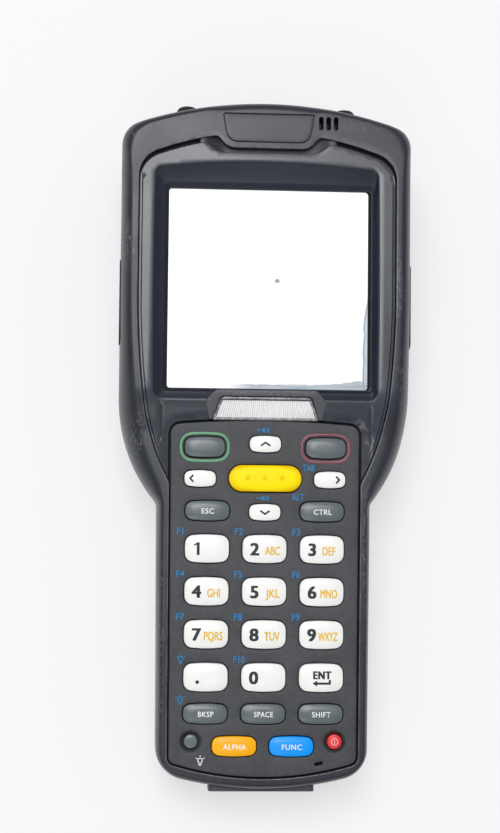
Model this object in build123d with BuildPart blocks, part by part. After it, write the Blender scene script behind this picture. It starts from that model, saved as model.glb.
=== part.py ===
"""Portable barcode data terminal: a two-shell housing with display, keypad, scan engine and battery.

Two frames are used, both in millimetres.
The table frame is the part's own frame: +Z up, the terminal lying on its back on the plane Z = 0.
The face frame is tilted by back_taper, because the head is thicker than the grip: x to the right,
y towards the head, z out of the face, with z = 0 on the keypad faceplate. It is the plane called face.
"""

import os
from math import acos, copysign, cos, radians, sin, sqrt

from build123d import *

os.makedirs("parts", exist_ok=True)

# ---------------------------------------------------------------- the two frames
back_taper = 5.0  # degrees between the face and the flat back
face_height = 33.0  # faceplate above the table where the face's y is 0
centre_shift = -1.2  # moves everything along the table, so that the box is centred

# ---------------------------------------------------------------- outline of the housing, face frame
head_half_width = 41.1
head_top_y = 96.3
head_arch_radius = 115.0
head_corner_radius = 6.0
wing_top_y = 13.0  # where the side of the head starts to curve in
wing_radius = 45.3
waist_radius = 3.0
grip_half_width = 30.1
heel_half_width = 29.5  # the grip narrows towards its end
grip_end_y = -95.3
grip_arch_radius = 100.0
heel_radius = 9.0

# ---------------------------------------------------------------- levels of the shells, face frame
grip_front_z = 0.7  # rails beside the keypad
head_front_z = 3.2  # frame round the display
ramp_low_y = 4.5  # the front rises from the rails to the head between these two
ramp_high_y = 13.5
ramp_radius = 12.0
front_roll_radius = 2.4
parting_z = -14.0
wall = 2.5
rear_draft = 6.0  # degrees by which the rear shell narrows towards the back
back_roll_radius = 3.5
fit_gap = 0.25  # between pieces that are set into each other
slide_gap = 0.3  # between pieces that move past each other

# ---------------------------------------------------------------- display bezel
field_top_y = 87.6  # arched edge of the frame over the bezel
field_arch_radius = 88.0
field_half_width = head_half_width - 4.9
field_corner_radius = 8.0
field_straight_y = 43.0  # below it the seam curves in
field_bend = (head_half_width - 6.6, 13.5)
field_tip = (28.4, -7.6)
bezel_drop = 0.5  # bezel below the frame
bezel_under_z = -1.0
shadow_gap = 1.2  # open groove under the arched cap
window_half_width = field_half_width - 7.7
window_low_y = 15.5
window_high_y = 71.6
window_corner_radius = 1.0
lip_z = 0.9  # foot of the sloping walls round the window
recess_half_width = field_half_width - 4.0
recess_top_y = 79.1
recess_arch_radius = 260.0
recess_side_radius = 900.0
recess_low_y = 12.6
recess_corner_radius = 3.0

# ---------------------------------------------------------------- pod with the name plate, speaker slots
pod_half_top = 14.6
pod_half_low = 11.6
pod_low_y = 83.0
pod_corner_radius = 4.0
scoop_half_width = 19.0  # hollow in the bezel under the pod
scoop_low_y = 81.6
scoop_corner_radius = 3.4
scoop_floor_z = 0.7
plate_half_top = 13.1
plate_half_low = 10.9
plate_low_y = 84.7
plate_high_y = 92.5
plate_corner_radius = 3.0
plate_thickness = 0.7
speaker_slot_x = 16.8
speaker_slot_y = 90.4
speaker_slot_pitch = 2.1
speaker_slot_length = 3.9
speaker_slot_width = 1.3
speaker_radius = 6.5
speaker_height = 3.0
speaker_y = 84.3

# ---------------------------------------------------------------- light bar between display and keypad
bar_half_top = 12.5
bar_half_low = 14.9
bar_low_y = 6.7
bar_high_y = 13.1
bar_corner_radius = 1.5
bar_rim = 1.9
bar_rim_rise = 0.35
lens_thickness = 1.2
lens_seat = 0.8

# ---------------------------------------------------------------- display stack, face frame
gasket_height = 0.3
gasket_width = 1.2
glass_thickness = 1.2
glass_margin = 1.6
lcd_thickness = 3.0
lcd_margin = 1.4
bracket_thickness = 1.2
bracket_half_width = window_half_width + 2.0
bracket_low_y = 10.8
bracket_high_y = 77.0
post_radius = 2.2
post_x = window_half_width - 1.5
post_low_y = 22.0
post_high_y = 72.0

# ---------------------------------------------------------------- main board and what it carries
board_gap = 3.4  # display bracket to main board
board_thickness = 1.2
board_edge_gap = 0.8  # main board to a side button pressed all the way in
board_low_y = -4.0
board_high_y = 88.0
shield_size = (30.0, 26.0, 2.4)
shield_y = 34.0
side_switch_size = (2.6, 6.0, 2.6)

# ---------------------------------------------------------------- keypad
well_half_width = 26.8  # opening of the housing round the keypad
well_foot_half_width = 26.4
well_top_y = 7.1
well_top_radius = 260.0
well_low_y = -92.3
well_low_radius = 86.0
well_top_corner = 3.4
well_low_corner = 2.6
keypad_gap = 0.75
faceplate_thickness = 1.6
faceplate_skirt = 1.4
flange_gap = 0.2  # key flange under the faceplate
flange_width = 0.8
flange_thickness = 0.7
key_travel = 0.8
plunger_radius = 1.25
key_gap = 0.25
mat_thickness = 2.0
mat_hole_radius = 2.6
keypad_board_thickness = 1.0
dome_radius = 2.0
dome_height = 0.3
dome_gap = 0.05
ledge_width = 1.6
ledge_thickness = 1.5

column_pitch = 16.0
row_pitch = 11.8
first_row_y = -29.1  # the row of 1, 2 and 3
number_key = (12.2, 7.8)
function_key = (12.2, 5.5)
function_row_y = -74.5
toggle_row_y = -83.4
toggle_x = 7.9
control_row_y = -18.6
call_row_y = -0.9
call_key = (11.2, 5.7)
call_x = 16.9
arrow_key = (8.7, 4.6)
arrow_up_y = 0.1
arrow_down_y = -18.9
arrow_side_y = -9.7
arrow_side_x = 18.1
scan_key = (20.2, 7.3)
scan_key_y = -9.5
lamp_key_diameter = 3.8
lamp_key_place = (-19.9, -82.1)
power_key_diameter = 4.5
power_key_place = (19.9, -82.1)
round_well_radius = 3.0
round_well_depth = 0.5
key_top_z = 1.5
scan_key_top_z = 1.9
small_key_top_z = 1.1
round_key_top_z = 0.6
crown_radius = 60.0
key_edge_radius = 0.5
key_corner_radius = 2.4
key_bulge = 0.45  # how far the long sides of a key bow out
key_side_bulge = 0.25
scan_dimple_pitch = 4.8
scan_dimple_radius = 0.9
scan_dimple_depth = 0.25
ring_offset = 0.6  # coloured rings round the two call keys
ring_width = 0.8
ring_rise = 0.2
ring_depth = 0.4
microphone_place = (15.6, -88.2)
microphone_slot = (2.4, 0.9)
microphone_angle = 12.0
microphone_radius = 1.3
microphone_height = 1.6

# ---------------------------------------------------------------- side buttons, face frame
side_button_length = 24.0
side_button_height = 6.4
side_button_y = 40.0
side_button_z = -6.8
side_button_proud = 0.2
side_button_travel = 0.8
side_flange = 0.8
side_flange_thickness = 0.9

# ---------------------------------------------------------------- scan window and bumpers at the head's end
scan_half_width = 16.0
scan_low_z = -31.0
scan_high_z = -16.0
scan_corner_radius = 2.5
scan_frame = 3.0
scan_glass_thickness = 1.4
scan_glass_y = 90.6
scan_seat_depth = 3.6
engine_size = (26.0, 20.0, 13.0)
engine_gap = 2.5
bumper_x = 22.6
bumper_radius = 3.1
bumper_length = 12.0
bumper_depth = 5.9  # from its seat to its end
bumper_z = -23.5

# ---------------------------------------------------------------- back, battery and latch, table frame
bay_half_width = 23.8
bay_low_y = -86.5
bay_high_y = 3.0
bay_height = 15.3
bay_wall = 1.5
battery_height = 15.0
battery_corner_radius = 4.0
battery_edge_radius = 1.2
contact_size = (1.2, 3.0)
contact_pitch = 3.2
contact_count = 5
contact_y = -5.0
trough_low_y = 5.2  # finger trough across the back, between battery and head
trough_high_y = 25.0
trough_depth = 5.0
trough_slope = 4.0
latch_size = (15.0, 7.0)
latch_y = 15.2
latch_proud = 1.8
latch_depth = 2.4
latch_travel = 2.5
latch_rib_count = 5
latch_rib_pitch = 2.4
tongue_width = 6.0
tongue_height = 1.4

# ---------------------------------------------------------------- screws, table frame
screw_head_radius = 2.2
screw_head_height = 1.6
screw_radius = 1.1
screw_clearance = 0.3
well_radius = 2.8
boss_radius = 3.2
rear_boss_radius = 3.9
head_screw_inset = 6.7  # screw's axis from the side of the head
head_screw_y = 64.0
waist_screw_inset = 10.1
waist_screw_y = 0.0
screw_length = 12.0
screw_seat_depth = 7.0  # seat below the parting plane

# ---------------------------------------------------------------- dock connector at the end of the grip
dock_half_width = 14.7
dock_low_z = -12.6
dock_high_z = -3.2
dock_proud = 0.9
dock_body_half_width = 12.6
dock_body_low_z = -12.2
dock_body_high_z = -9.0
dock_inner_y = -91.6
dock_contact_count = 10
dock_contact_pitch = 2.2
dock_contact_size = (1.2, 2.2)
dock_contact_depth = 0.5
seal_inset = 0.8
seal_width = 0.9
seal_height = 0.8

# ---------------------------------------------------------------- worked-out values
tilt = radians(back_taper)
face = Plane(origin=(0, centre_shift, face_height), x_dir=(1, 0, 0), z_dir=(0, -sin(tilt), cos(tilt)))
side = Plane(origin=face.origin, x_dir=face.y_dir, z_dir=face.x_dir)  # its x and y are the face's y and z
wide = 120.0  # longer than anything it cuts
bezel_front_z = head_front_z - bezel_drop
gasket_top_z = lip_z - 0.6
glass_top_z = gasket_top_z - gasket_height
lcd_top_z = glass_top_z - glass_thickness
bracket_top_z = lcd_top_z - lcd_thickness
board_top_z = bracket_top_z - bracket_thickness - board_gap
flange_top_z = -faceplate_thickness - flange_gap
mat_top_z = flange_top_z - flange_thickness - key_travel - flange_gap
keypad_board_z = mat_top_z - mat_thickness
dome_top_z = keypad_board_z + dome_height
ledge_z = keypad_board_z - keypad_board_thickness
cap_under_z = head_front_z - wall


def save(piece, name):
    """Labels a finished sub-part and writes it to its own file."""
    piece.part.label = name
    export_step(piece.part, f"parts/{name}.step")


# ================================================================ shared outlines
def on_arch(apex_y, radius, x):
    """Height at x of an arch centred on the middle line; a negative radius opens upwards."""
    return apex_y - copysign(abs(radius) - sqrt(radius**2 - x**2), radius)


def half_arch(apex_y, radius, half_width):
    """Right half of an arch, from the middle line out to half_width, in a BuildLine."""
    middle = half_width / 2
    return ThreePointArc(
        (0, apex_y),
        (middle, on_arch(apex_y, radius, middle)),
        (half_width, on_arch(apex_y, radius, half_width)),
    )


def near(points, x, y):
    """The points that lie at x or -x, and at y."""
    return [p for p in points if abs(abs(p.X) - x) < 0.01 and abs(p.Y - y) < 0.01]


def body_outline(inset=0.0):
    """Plan of both shells: arched head, wings that curve in to the waist, and the grip."""
    shoulder_y = on_arch(head_top_y, head_arch_radius, head_half_width)
    wing_turn = acos(1 - (head_half_width - grip_half_width) / wing_radius)
    waist_y = wing_top_y - wing_radius * sin(wing_turn)
    heel_y = on_arch(grip_end_y, -grip_arch_radius, heel_half_width)
    wing_middle = (
        head_half_width - wing_radius * (1 - cos(wing_turn / 2)),
        wing_top_y - wing_radius * sin(wing_turn / 2),
    )
    with BuildSketch() as outline:
        with BuildLine():
            half_arch(head_top_y, head_arch_radius, head_half_width)
            Line((head_half_width, shoulder_y), (head_half_width, wing_top_y))
            ThreePointArc((head_half_width, wing_top_y), wing_middle, (grip_half_width, waist_y))
            Line((grip_half_width, waist_y), (heel_half_width, heel_y))
            half_arch(grip_end_y, -grip_arch_radius, heel_half_width)
            mirror(about=Plane.YZ)
        make_face()
        fillet(near(outline.vertices(), head_half_width, shoulder_y), head_corner_radius)
        fillet(near(outline.vertices(), grip_half_width, waist_y), waist_radius)
        fillet(near(outline.vertices(), heel_half_width, heel_y), heel_radius)
        if inset:
            offset(amount=-inset)
    return outline.sketch


def well_outline(inset=0.0):
    """Plan of the opening for the keypad; the faceplate is the same shape pulled in."""
    top_corner_y = on_arch(well_top_y, well_top_radius, well_half_width)
    low_corner_y = on_arch(well_low_y, -well_low_radius, well_foot_half_width)
    with BuildSketch() as outline:
        with BuildLine():
            half_arch(well_top_y, well_top_radius, well_half_width)
            Line((well_half_width, top_corner_y), (well_foot_half_width, low_corner_y))
            half_arch(well_low_y, -well_low_radius, well_foot_half_width)
            mirror(about=Plane.YZ)
        make_face()
        fillet(near(outline.vertices(), well_half_width, top_corner_y), well_top_corner)
        fillet(near(outline.vertices(), well_foot_half_width, low_corner_y), well_low_corner)
        if inset:
            offset(amount=-inset)
    return outline.sketch


def field_outline(inset=0.0, top_gap=0.0):
    """Plan of the opening for the display bezel, down to the two tips beside the keypad."""
    arch_y = field_top_y - top_gap
    corner_y = on_arch(arch_y, field_arch_radius, field_half_width)
    with BuildSketch() as outline:
        with BuildLine():
            half_arch(arch_y, field_arch_radius, field_half_width)
            Line((field_half_width, corner_y), (field_half_width, field_straight_y))
            bend = TangentArc((field_half_width, field_straight_y), field_bend, tangent=(0, -1))
            TangentArc(field_bend, field_tip, tangent=bend % 1)
            Line(field_tip, (0, field_tip[1]))
            mirror(about=Plane.YZ)
        make_face()
        fillet(near(outline.vertices(), field_half_width, corner_y), field_corner_radius)
        if inset:
            offset(amount=-inset)
    return outline.sketch


def bar_outline(half_top, half_low, low_y, high_y, corner_radius, inset=0.0):
    """A bar with slanting ends and rounded corners at its narrow side."""
    narrow_y = high_y if half_top < half_low else low_y
    with BuildSketch() as outline:
        with BuildLine():
            Polyline((-half_low, low_y), (half_low, low_y), (half_top, high_y), (-half_top, high_y), close=True)
        make_face()
        fillet(near(outline.vertices(), min(half_top, half_low), narrow_y), corner_radius)
        if inset:
            offset(amount=-inset)
    return outline.sketch


def pod_outline():
    """The part of the cap that hangs over the bezel and holds the name plate."""
    return bar_outline(pod_half_top, pod_half_low, pod_low_y, field_top_y + 1, pod_corner_radius)


def plate_outline(inset=0.0):
    """The name plate in the pod."""
    return bar_outline(
        plate_half_top, plate_half_low, plate_low_y, plate_high_y, plate_corner_radius, inset
    )


def lens_outline(inset=0.0):
    """The light bar's lens."""
    return bar_outline(bar_half_top, bar_half_low, bar_low_y, bar_high_y, bar_corner_radius, inset)


def front_profile(drop=0.0):
    """Side view of everything behind the front surface: rails, ramp and head, lowered by drop."""
    with BuildSketch() as profile:
        with BuildLine():
            Polyline(
                (-wide, grip_front_z - drop),
                (ramp_low_y, grip_front_z - drop),
                (ramp_high_y, head_front_z - drop),
                (wide, head_front_z - drop),
                (wide, -wide),
                (-wide, -wide),
                close=True,
            )
        make_face()
        ramp_ends = [v for v in profile.vertices() if abs(v.X) < wide - 1]
        fillet(ramp_ends, ramp_radius)
    return profile.sketch


def window_frame(half_width, low_y, high_y, corner_radius, arch_radius=0.0, side_radius=0.0):
    """Four-cornered outline; its top and sides are straight where no radius is given."""
    corner_y = on_arch(high_y, arch_radius, half_width) if arch_radius else high_y
    middle_y = (low_y + corner_y) / 2
    bulge = (corner_y - low_y) ** 2 / 8 / side_radius if side_radius else 0.0
    with BuildSketch() as outline:
        with BuildLine():
            if arch_radius:
                half_arch(high_y, arch_radius, half_width)
            else:
                Line((0, high_y), (half_width, high_y))
            if side_radius:
                ThreePointArc((half_width, corner_y), (half_width + bulge, middle_y), (half_width, low_y))
            else:
                Line((half_width, corner_y), (half_width, low_y))
            Line((half_width, low_y), (0, low_y))
            mirror(about=Plane.YZ)
        make_face()
        fillet(near(outline.vertices(), half_width, corner_y), corner_radius)
        fillet(near(outline.vertices(), half_width, low_y), corner_radius)
    return outline.sketch


def window_outline(grow=0.0):
    """The display window, or a layer of the stack behind it that is larger all round."""
    return window_frame(
        window_half_width + grow, window_low_y - grow, window_high_y + grow, window_corner_radius
    )


def prism(outline, low_z, high_z, mode=Mode.ADD):
    """Extrudes an outline between two levels of the face frame, in the part being built."""
    with BuildSketch(face.offset(low_z)) as section:
        add(outline)
    extrude(section.sketch, amount=high_z - low_z, mode=mode)


def under_front(drop):
    """Keeps what lies behind the front surface lowered by drop, in the part being built."""
    with BuildSketch(side) as section:
        add(front_profile(drop))
    extrude(section.sketch, amount=wide, both=True, mode=Mode.INTERSECT)


def disc(x, y, radius, low_z, high_z, mode=Mode.ADD):
    """Round pillar or hole between two levels of the face frame, in the part being built."""
    with BuildSketch(face.offset(low_z)) as section:
        with Locations((x, y)):
            Circle(radius)
    extrude(section.sketch, amount=high_z - low_z, mode=mode)


def block(x, y, size_x, size_y, low_z, high_z, mode=Mode.ADD):
    """Rectangular block between two levels of the face frame, in the part being built."""
    with BuildSketch(face.offset(low_z)) as section:
        with Locations((x, y)):
            Rectangle(size_x, size_y)
    extrude(section.sketch, amount=high_z - low_z, mode=mode)


# ================================================================ the keys
def key_outline(kind, size, grow=0.0):
    """Plan of a key: round, a slot, or four sides that bow out a little."""
    half_x = size[0] / 2 - key_side_bulge + grow
    half_y = size[1] / 2 - key_bulge + grow
    corner_radius = min(key_corner_radius, 0.92 * (half_y - grow)) + grow
    with BuildSketch() as outline:
        if kind == "round":
            Circle(size[0] / 2 + grow)
        elif kind == "slot":
            SlotOverall(size[0] + 2 * grow, size[1] + 2 * grow)
        else:
            with BuildLine():
                ThreePointArc((half_x, -half_y), (half_x + key_side_bulge, 0), (half_x, half_y))
                ThreePointArc((half_x, half_y), (0, half_y + key_bulge), (-half_x, half_y))
                ThreePointArc((-half_x, half_y), (-half_x - key_side_bulge, 0), (-half_x, -half_y))
                ThreePointArc((-half_x, -half_y), (0, -half_y - key_bulge), (half_x, -half_y))
            make_face()
            fillet(outline.vertices(), corner_radius)
    return outline.sketch


lamp_key = (lamp_key_diameter, lamp_key_diameter)
power_key = (power_key_diameter, power_key_diameter)
keys = [
    ("key_green", "bowed", call_key, -call_x, call_row_y, key_top_z),
    ("key_red", "bowed", call_key, call_x, call_row_y, key_top_z),
    ("key_up", "bowed", arrow_key, 0.0, arrow_up_y, small_key_top_z),
    ("key_left", "bowed", arrow_key, -arrow_side_x, arrow_side_y, small_key_top_z),
    ("key_scan", "slot", scan_key, 0.0, scan_key_y, scan_key_top_z),
    ("key_right", "bowed", arrow_key, arrow_side_x, arrow_side_y, small_key_top_z),
    ("key_down", "bowed", arrow_key, 0.0, arrow_down_y, small_key_top_z),
    ("key_escape", "bowed", function_key, -column_pitch, control_row_y, small_key_top_z),
    ("key_control", "bowed", function_key, column_pitch, control_row_y, small_key_top_z),
    ("key_backspace", "bowed", function_key, -column_pitch, function_row_y, small_key_top_z),
    ("key_space", "bowed", function_key, 0.0, function_row_y, small_key_top_z),
    ("key_shift", "bowed", function_key, column_pitch, function_row_y, small_key_top_z),
    ("key_alpha", "bowed", function_key, -toggle_x, toggle_row_y, small_key_top_z),
    ("key_function", "bowed", function_key, toggle_x, toggle_row_y, small_key_top_z),
    ("key_lamp", "round", lamp_key, *lamp_key_place, round_key_top_z),
    ("key_power", "round", power_key, *power_key_place, round_key_top_z),
]
for row, names in enumerate(["123", "456", "789", ".0E"]):
    for column, sign in enumerate(names):
        name = {".": "key_period", "E": "key_enter"}.get(sign, f"key_{sign}")
        x = (column - 1) * column_pitch
        keys.append((name, "bowed", number_key, x, first_row_y - row * row_pitch, key_top_z))

for name, kind, size, x, y, top_z in keys:
    with BuildPart() as key:
        prism(Pos(x, y) * key_outline(kind, size), flange_top_z, top_z)
        with Locations(face.location * Location((x, y, top_z - crown_radius))):
            Cylinder(crown_radius, wide, rotation=(90, 0, 0), mode=Mode.INTERSECT)
        top = key.faces().sort_by(lambda f: face.to_local_coords(f.center()).Z)[-1]
        fillet(top.edges(), key_edge_radius)
        if name == "key_scan":
            for dimple in (-1, 0, 1):
                depth = top_z - scan_dimple_depth + scan_dimple_radius
                with Locations(face.location * Location((x + dimple * scan_dimple_pitch, y, depth))):
                    Sphere(scan_dimple_radius, mode=Mode.SUBTRACT)
        flange = Pos(x, y) * key_outline(kind, size, flange_width)
        prism(flange, flange_top_z - flange_thickness, flange_top_z)
        disc(x, y, plunger_radius, dome_top_z + dome_gap + key_travel, flange_top_z)
    save(key, name)

# ================================================================ keypad behind the keys
def ring_outline(x):
    """Plan of a coloured ring round a call key."""
    outer = key_outline("bowed", call_key, ring_offset + ring_width)
    inner = key_outline("bowed", call_key, ring_offset)
    return Pos(x, call_row_y) * (outer - inner)


with BuildPart() as keypad_faceplate:
    prism(well_outline(keypad_gap), -faceplate_thickness, 0)
    prism(well_outline(keypad_gap), mat_top_z, -faceplate_thickness)
    prism(well_outline(keypad_gap + faceplate_skirt), mat_top_z, -faceplate_thickness, Mode.SUBTRACT)
    for _, kind, size, x, y, _ in keys:
        hole = Pos(x, y) * key_outline(kind, size, key_gap)
        prism(hole, -faceplate_thickness, 0, Mode.SUBTRACT)
    for x, y in (lamp_key_place, power_key_place):
        disc(x, y, round_well_radius, -round_well_depth, 0, Mode.SUBTRACT)
    for x in (-call_x, call_x):
        prism(ring_outline(x), -ring_depth, 0, Mode.SUBTRACT)
    with BuildSketch(face):
        with Locations(Location((*microphone_place, 0), (0, 0, microphone_angle))):
            SlotOverall(*microphone_slot)
    extrude(amount=-faceplate_thickness, mode=Mode.SUBTRACT)
    disc(*microphone_place, microphone_radius, mat_top_z, -faceplate_thickness, Mode.SUBTRACT)
save(keypad_faceplate, "keypad_faceplate")

for name, x in (("key_ring_green", -call_x), ("key_ring_red", call_x)):
    with BuildPart() as key_ring:
        prism(ring_outline(x), -ring_depth, ring_rise)
    save(key_ring, name)

with BuildPart() as microphone:
    disc(*microphone_place, microphone_radius, -faceplate_thickness - microphone_height, -faceplate_thickness)
save(microphone, "microphone")

with BuildPart() as keypad_mat:
    prism(well_outline(keypad_gap), keypad_board_z, mat_top_z)
    for _, _, _, x, y, _ in keys:
        disc(x, y, mat_hole_radius, keypad_board_z, mat_top_z, Mode.SUBTRACT)
save(keypad_mat, "keypad_mat")

with BuildPart() as key_domes:
    for _, _, _, x, y, _ in keys:
        disc(x, y, dome_radius, keypad_board_z, dome_top_z)
save(key_domes, "key_domes")

with BuildPart() as keypad_board:
    prism(well_outline(keypad_gap), ledge_z, keypad_board_z)
save(keypad_board, "keypad_board")

# ================================================================ front housing
ledge_under_z = ledge_z - ledge_thickness
shelf_under_z = bezel_under_z - ledge_thickness
band = 2.0  # wall round the keypad's well, under the bezel
screw_places = []
for inset, y in ((head_screw_inset, head_screw_y), (waist_screw_inset, waist_screw_y)):
    screw_places += [(inset - head_half_width, y), (head_half_width - inset, y)]
dock_plane = Plane(
    origin=face.from_local_coords((0, grip_end_y - dock_proud, 0)),
    x_dir=face.x_dir,
    z_dir=-face.y_dir,
)  # its y is the face's z, and it looks out of the grip's end
head_plane = Plane(
    origin=face.from_local_coords((0, 0, 0)),
    x_dir=-face.x_dir,
    z_dir=face.y_dir,
)  # its y is the face's z, and it looks out of the head's end


def dock_flange(depth, grow=0.0, mode=Mode.ADD):
    """The dock connector's outer plate, or the seat for it."""
    middle_z = (dock_low_z + dock_high_z) / 2
    with BuildSketch(dock_plane) as section:
        with Locations((0, middle_z)):
            RectangleRounded(2 * (dock_half_width + grow), dock_high_z - dock_low_z + 2 * grow, 1.5)
    extrude(section.sketch, amount=-depth, mode=mode)


def dock_body(depth, grow=0.0, mode=Mode.ADD):
    """The dock connector's body behind its plate, or the opening for it."""
    middle_z = (dock_body_low_z + dock_body_high_z) / 2
    with BuildSketch(dock_plane) as section:
        with Locations((0, middle_z)):
            Rectangle(2 * (dock_body_half_width + grow), dock_body_high_z - dock_body_low_z + 2 * grow)
    extrude(section.sketch, amount=-depth, mode=mode)


def side_slot(grow, low_x, high_x, mode=Mode.ADD):
    """Side button's outline, grown all round, between two distances from the middle, both sides."""
    for hand in (-1, 1):
        with BuildSketch(side.offset(hand * low_x)) as section:
            with Locations((side_button_y, side_button_z)):
                RectangleRounded(side_button_length + 2 * grow, side_button_height + 2 * grow, 2.0)
        extrude(section.sketch, amount=hand * (high_x - low_x), mode=mode)


dock_flange_depth = 2.2
with BuildPart() as front_housing:
    prism(body_outline(), parting_z, head_front_z)
    under_front(0.0)
    rim = []
    for edge in front_housing.edges():
        spot = face.to_local_coords(edge @ 0.5)
        along = face.to_local_coords(edge @ 1) - face.to_local_coords(edge @ 0)
        if spot.Z > parting_z + 5 and abs(along.Y) + abs(along.Z) > 0.01 and abs(along.X) + abs(along.Y) > 0.01:
            rim.append(edge)
    fillet(rim, front_roll_radius)
    prism(body_outline(wall), parting_z, ledge_under_z, Mode.SUBTRACT)
    with BuildSketch(face.offset(ledge_under_z)):
        add(body_outline(wall))
        add(well_outline(-band), mode=Mode.SUBTRACT)
    extrude(amount=shelf_under_z - ledge_under_z, mode=Mode.SUBTRACT)
    with BuildSketch(face.offset(shelf_under_z)):
        add(field_outline(ledge_width))
        add(well_outline(-band), mode=Mode.SUBTRACT)
    extrude(amount=ledge_thickness, mode=Mode.SUBTRACT)
    with BuildSketch(face.offset(bezel_under_z)):
        add(field_outline())
        add(pod_outline(), mode=Mode.SUBTRACT)
    extrude(amount=head_front_z - bezel_under_z, mode=Mode.SUBTRACT)
    for x, y in screw_places:
        disc(x, y, boss_radius, parting_z, shelf_under_z)
    prism(well_outline(), ledge_z, head_front_z, Mode.SUBTRACT)
    prism(well_outline(ledge_width), ledge_under_z, ledge_z, Mode.SUBTRACT)
    prism(plate_outline(), head_front_z - plate_thickness, head_front_z, Mode.SUBTRACT)
    with BuildSketch(face.offset(head_front_z)):
        for step in (-1, 0, 1):
            with Locations((speaker_slot_x + step * speaker_slot_pitch, speaker_slot_y)):
                SlotOverall(speaker_slot_length, speaker_slot_width, rotation=90)
    extrude(amount=shelf_under_z - head_front_z, mode=Mode.SUBTRACT)
    for x, y in screw_places:
        disc(x, y, screw_radius, parting_z, parting_z + screw_length - screw_seat_depth + 1, Mode.SUBTRACT)
    side_slot(slide_gap, head_half_width - wall - 1, head_half_width + 1, Mode.SUBTRACT)
    dock_flange(dock_flange_depth, fit_gap, Mode.SUBTRACT)
    dock_body(dock_proud + 2 * wall, fit_gap, Mode.SUBTRACT)
save(front_housing, "front_housing")

with BuildPart() as name_plate:
    prism(plate_outline(0.1), head_front_z - plate_thickness, head_front_z)
save(name_plate, "name_plate")

# ================================================================ display bezel and light bar
with BuildPart() as display_bezel:
    with BuildSketch(face.offset(bezel_under_z)):
        add(field_outline(fit_gap, shadow_gap))
        add(well_outline(), mode=Mode.SUBTRACT)
    extrude(amount=head_front_z - bezel_under_z)
    under_front(bezel_drop)
    with BuildSketch(face.offset(bezel_front_z)):
        add(
            window_frame(
                recess_half_width,
                recess_low_y,
                recess_top_y,
                recess_corner_radius,
                recess_arch_radius,
                recess_side_radius,
            )
        )
    with BuildSketch(face.offset(lip_z)):
        add(window_outline())
    loft(ruled=True, mode=Mode.SUBTRACT)
    scoop = bar_outline(scoop_half_width, pod_half_top, scoop_low_y, field_top_y, scoop_corner_radius)
    prism(scoop, scoop_floor_z, head_front_z, Mode.SUBTRACT)
    with BuildSketch(face.offset(bezel_under_z)) as pod_hole:
        add(pod_outline())
        offset(amount=fit_gap)
    extrude(amount=head_front_z - bezel_under_z, mode=Mode.SUBTRACT)
    with BuildPart(mode=Mode.ADD):
        prism(lens_outline(-bar_rim), bezel_under_z, head_front_z)
        under_front(bezel_drop - bar_rim_rise)
        prism(well_outline(), bezel_under_z, head_front_z, Mode.SUBTRACT)
    with BuildPart(mode=Mode.SUBTRACT) as lens_seat_cut:
        prism(lens_outline(), bezel_under_z - 1, head_front_z)
        with BuildSketch(side):
            add(front_profile(bezel_drop + lens_thickness))
        extrude(amount=wide, both=True, mode=Mode.SUBTRACT)
    prism(lens_outline(lens_seat), bezel_under_z, head_front_z, Mode.SUBTRACT)
    prism(window_outline(), bezel_under_z, head_front_z, Mode.SUBTRACT)
    prism(window_outline(glass_margin + fit_gap), bezel_under_z, gasket_top_z, Mode.SUBTRACT)
save(display_bezel, "display_bezel")

with BuildPart() as light_bar_lens:
    prism(lens_outline(0.1), bezel_under_z - 1, head_front_z)
    under_front(bezel_drop)
    with BuildSketch(side):
        add(front_profile(bezel_drop + lens_thickness))
    extrude(amount=wide, both=True, mode=Mode.SUBTRACT)
save(light_bar_lens, "light_bar_lens")

# ================================================================ display stack
with BuildPart() as display_gasket:
    prism(window_outline(gasket_width), glass_top_z, gasket_top_z)
    prism(window_outline(), glass_top_z, gasket_top_z, Mode.SUBTRACT)
save(display_gasket, "display_gasket")

with BuildPart() as touch_panel:
    prism(window_outline(glass_margin), lcd_top_z, glass_top_z)
save(touch_panel, "touch_panel")

with BuildPart() as display_module:
    prism(window_outline(lcd_margin), bracket_top_z, lcd_top_z)
save(display_module, "display_module")

bracket_y = (bracket_low_y + bracket_high_y) / 2
bracket_under_z = bracket_top_z - bracket_thickness
with BuildPart() as display_bracket:
    block(0, bracket_y, 2 * bracket_half_width, bracket_high_y - bracket_low_y, bracket_under_z, bracket_top_z)
    for x in (-post_x, post_x):
        for y in (post_low_y, post_high_y):
            disc(x, y, post_radius, board_top_z, bracket_under_z)
save(display_bracket, "display_bracket")

# ================================================================ main board and what it carries
board_under_z = board_top_z - board_thickness
board_y = (board_low_y + board_high_y) / 2
flange_x = head_half_width - wall - slide_gap  # outer face of the side button's flange
board_half_width = flange_x - side_flange_thickness - side_button_travel - board_edge_gap
with BuildPart() as main_board:
    block(0, board_y, 2 * board_half_width, board_high_y - board_low_y, board_under_z, board_top_z)
    for x, y in screw_places:
        disc(x, y, boss_radius + 0.6, board_under_z, board_top_z, Mode.SUBTRACT)
    with BuildPart(mode=Mode.INTERSECT):
        prism(body_outline(wall + 0.5), board_under_z, board_top_z)
save(main_board, "main_board")

with BuildPart() as shield_can:
    block(0, shield_y, shield_size[0], shield_size[1], board_under_z - shield_size[2], board_under_z)
save(shield_can, "shield_can")

switch_x = flange_x - side_flange_thickness - side_button_travel - dome_gap - side_switch_size[0] / 2
with BuildPart() as side_switches:
    for x in (-switch_x, switch_x):
        block(x, side_button_y, *side_switch_size[:2], board_top_z, board_top_z + side_switch_size[2])
save(side_switches, "side_switches")

with BuildPart() as speaker:
    disc(speaker_slot_x, speaker_y, speaker_radius, shelf_under_z - speaker_height, shelf_under_z)
save(speaker, "speaker")

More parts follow.
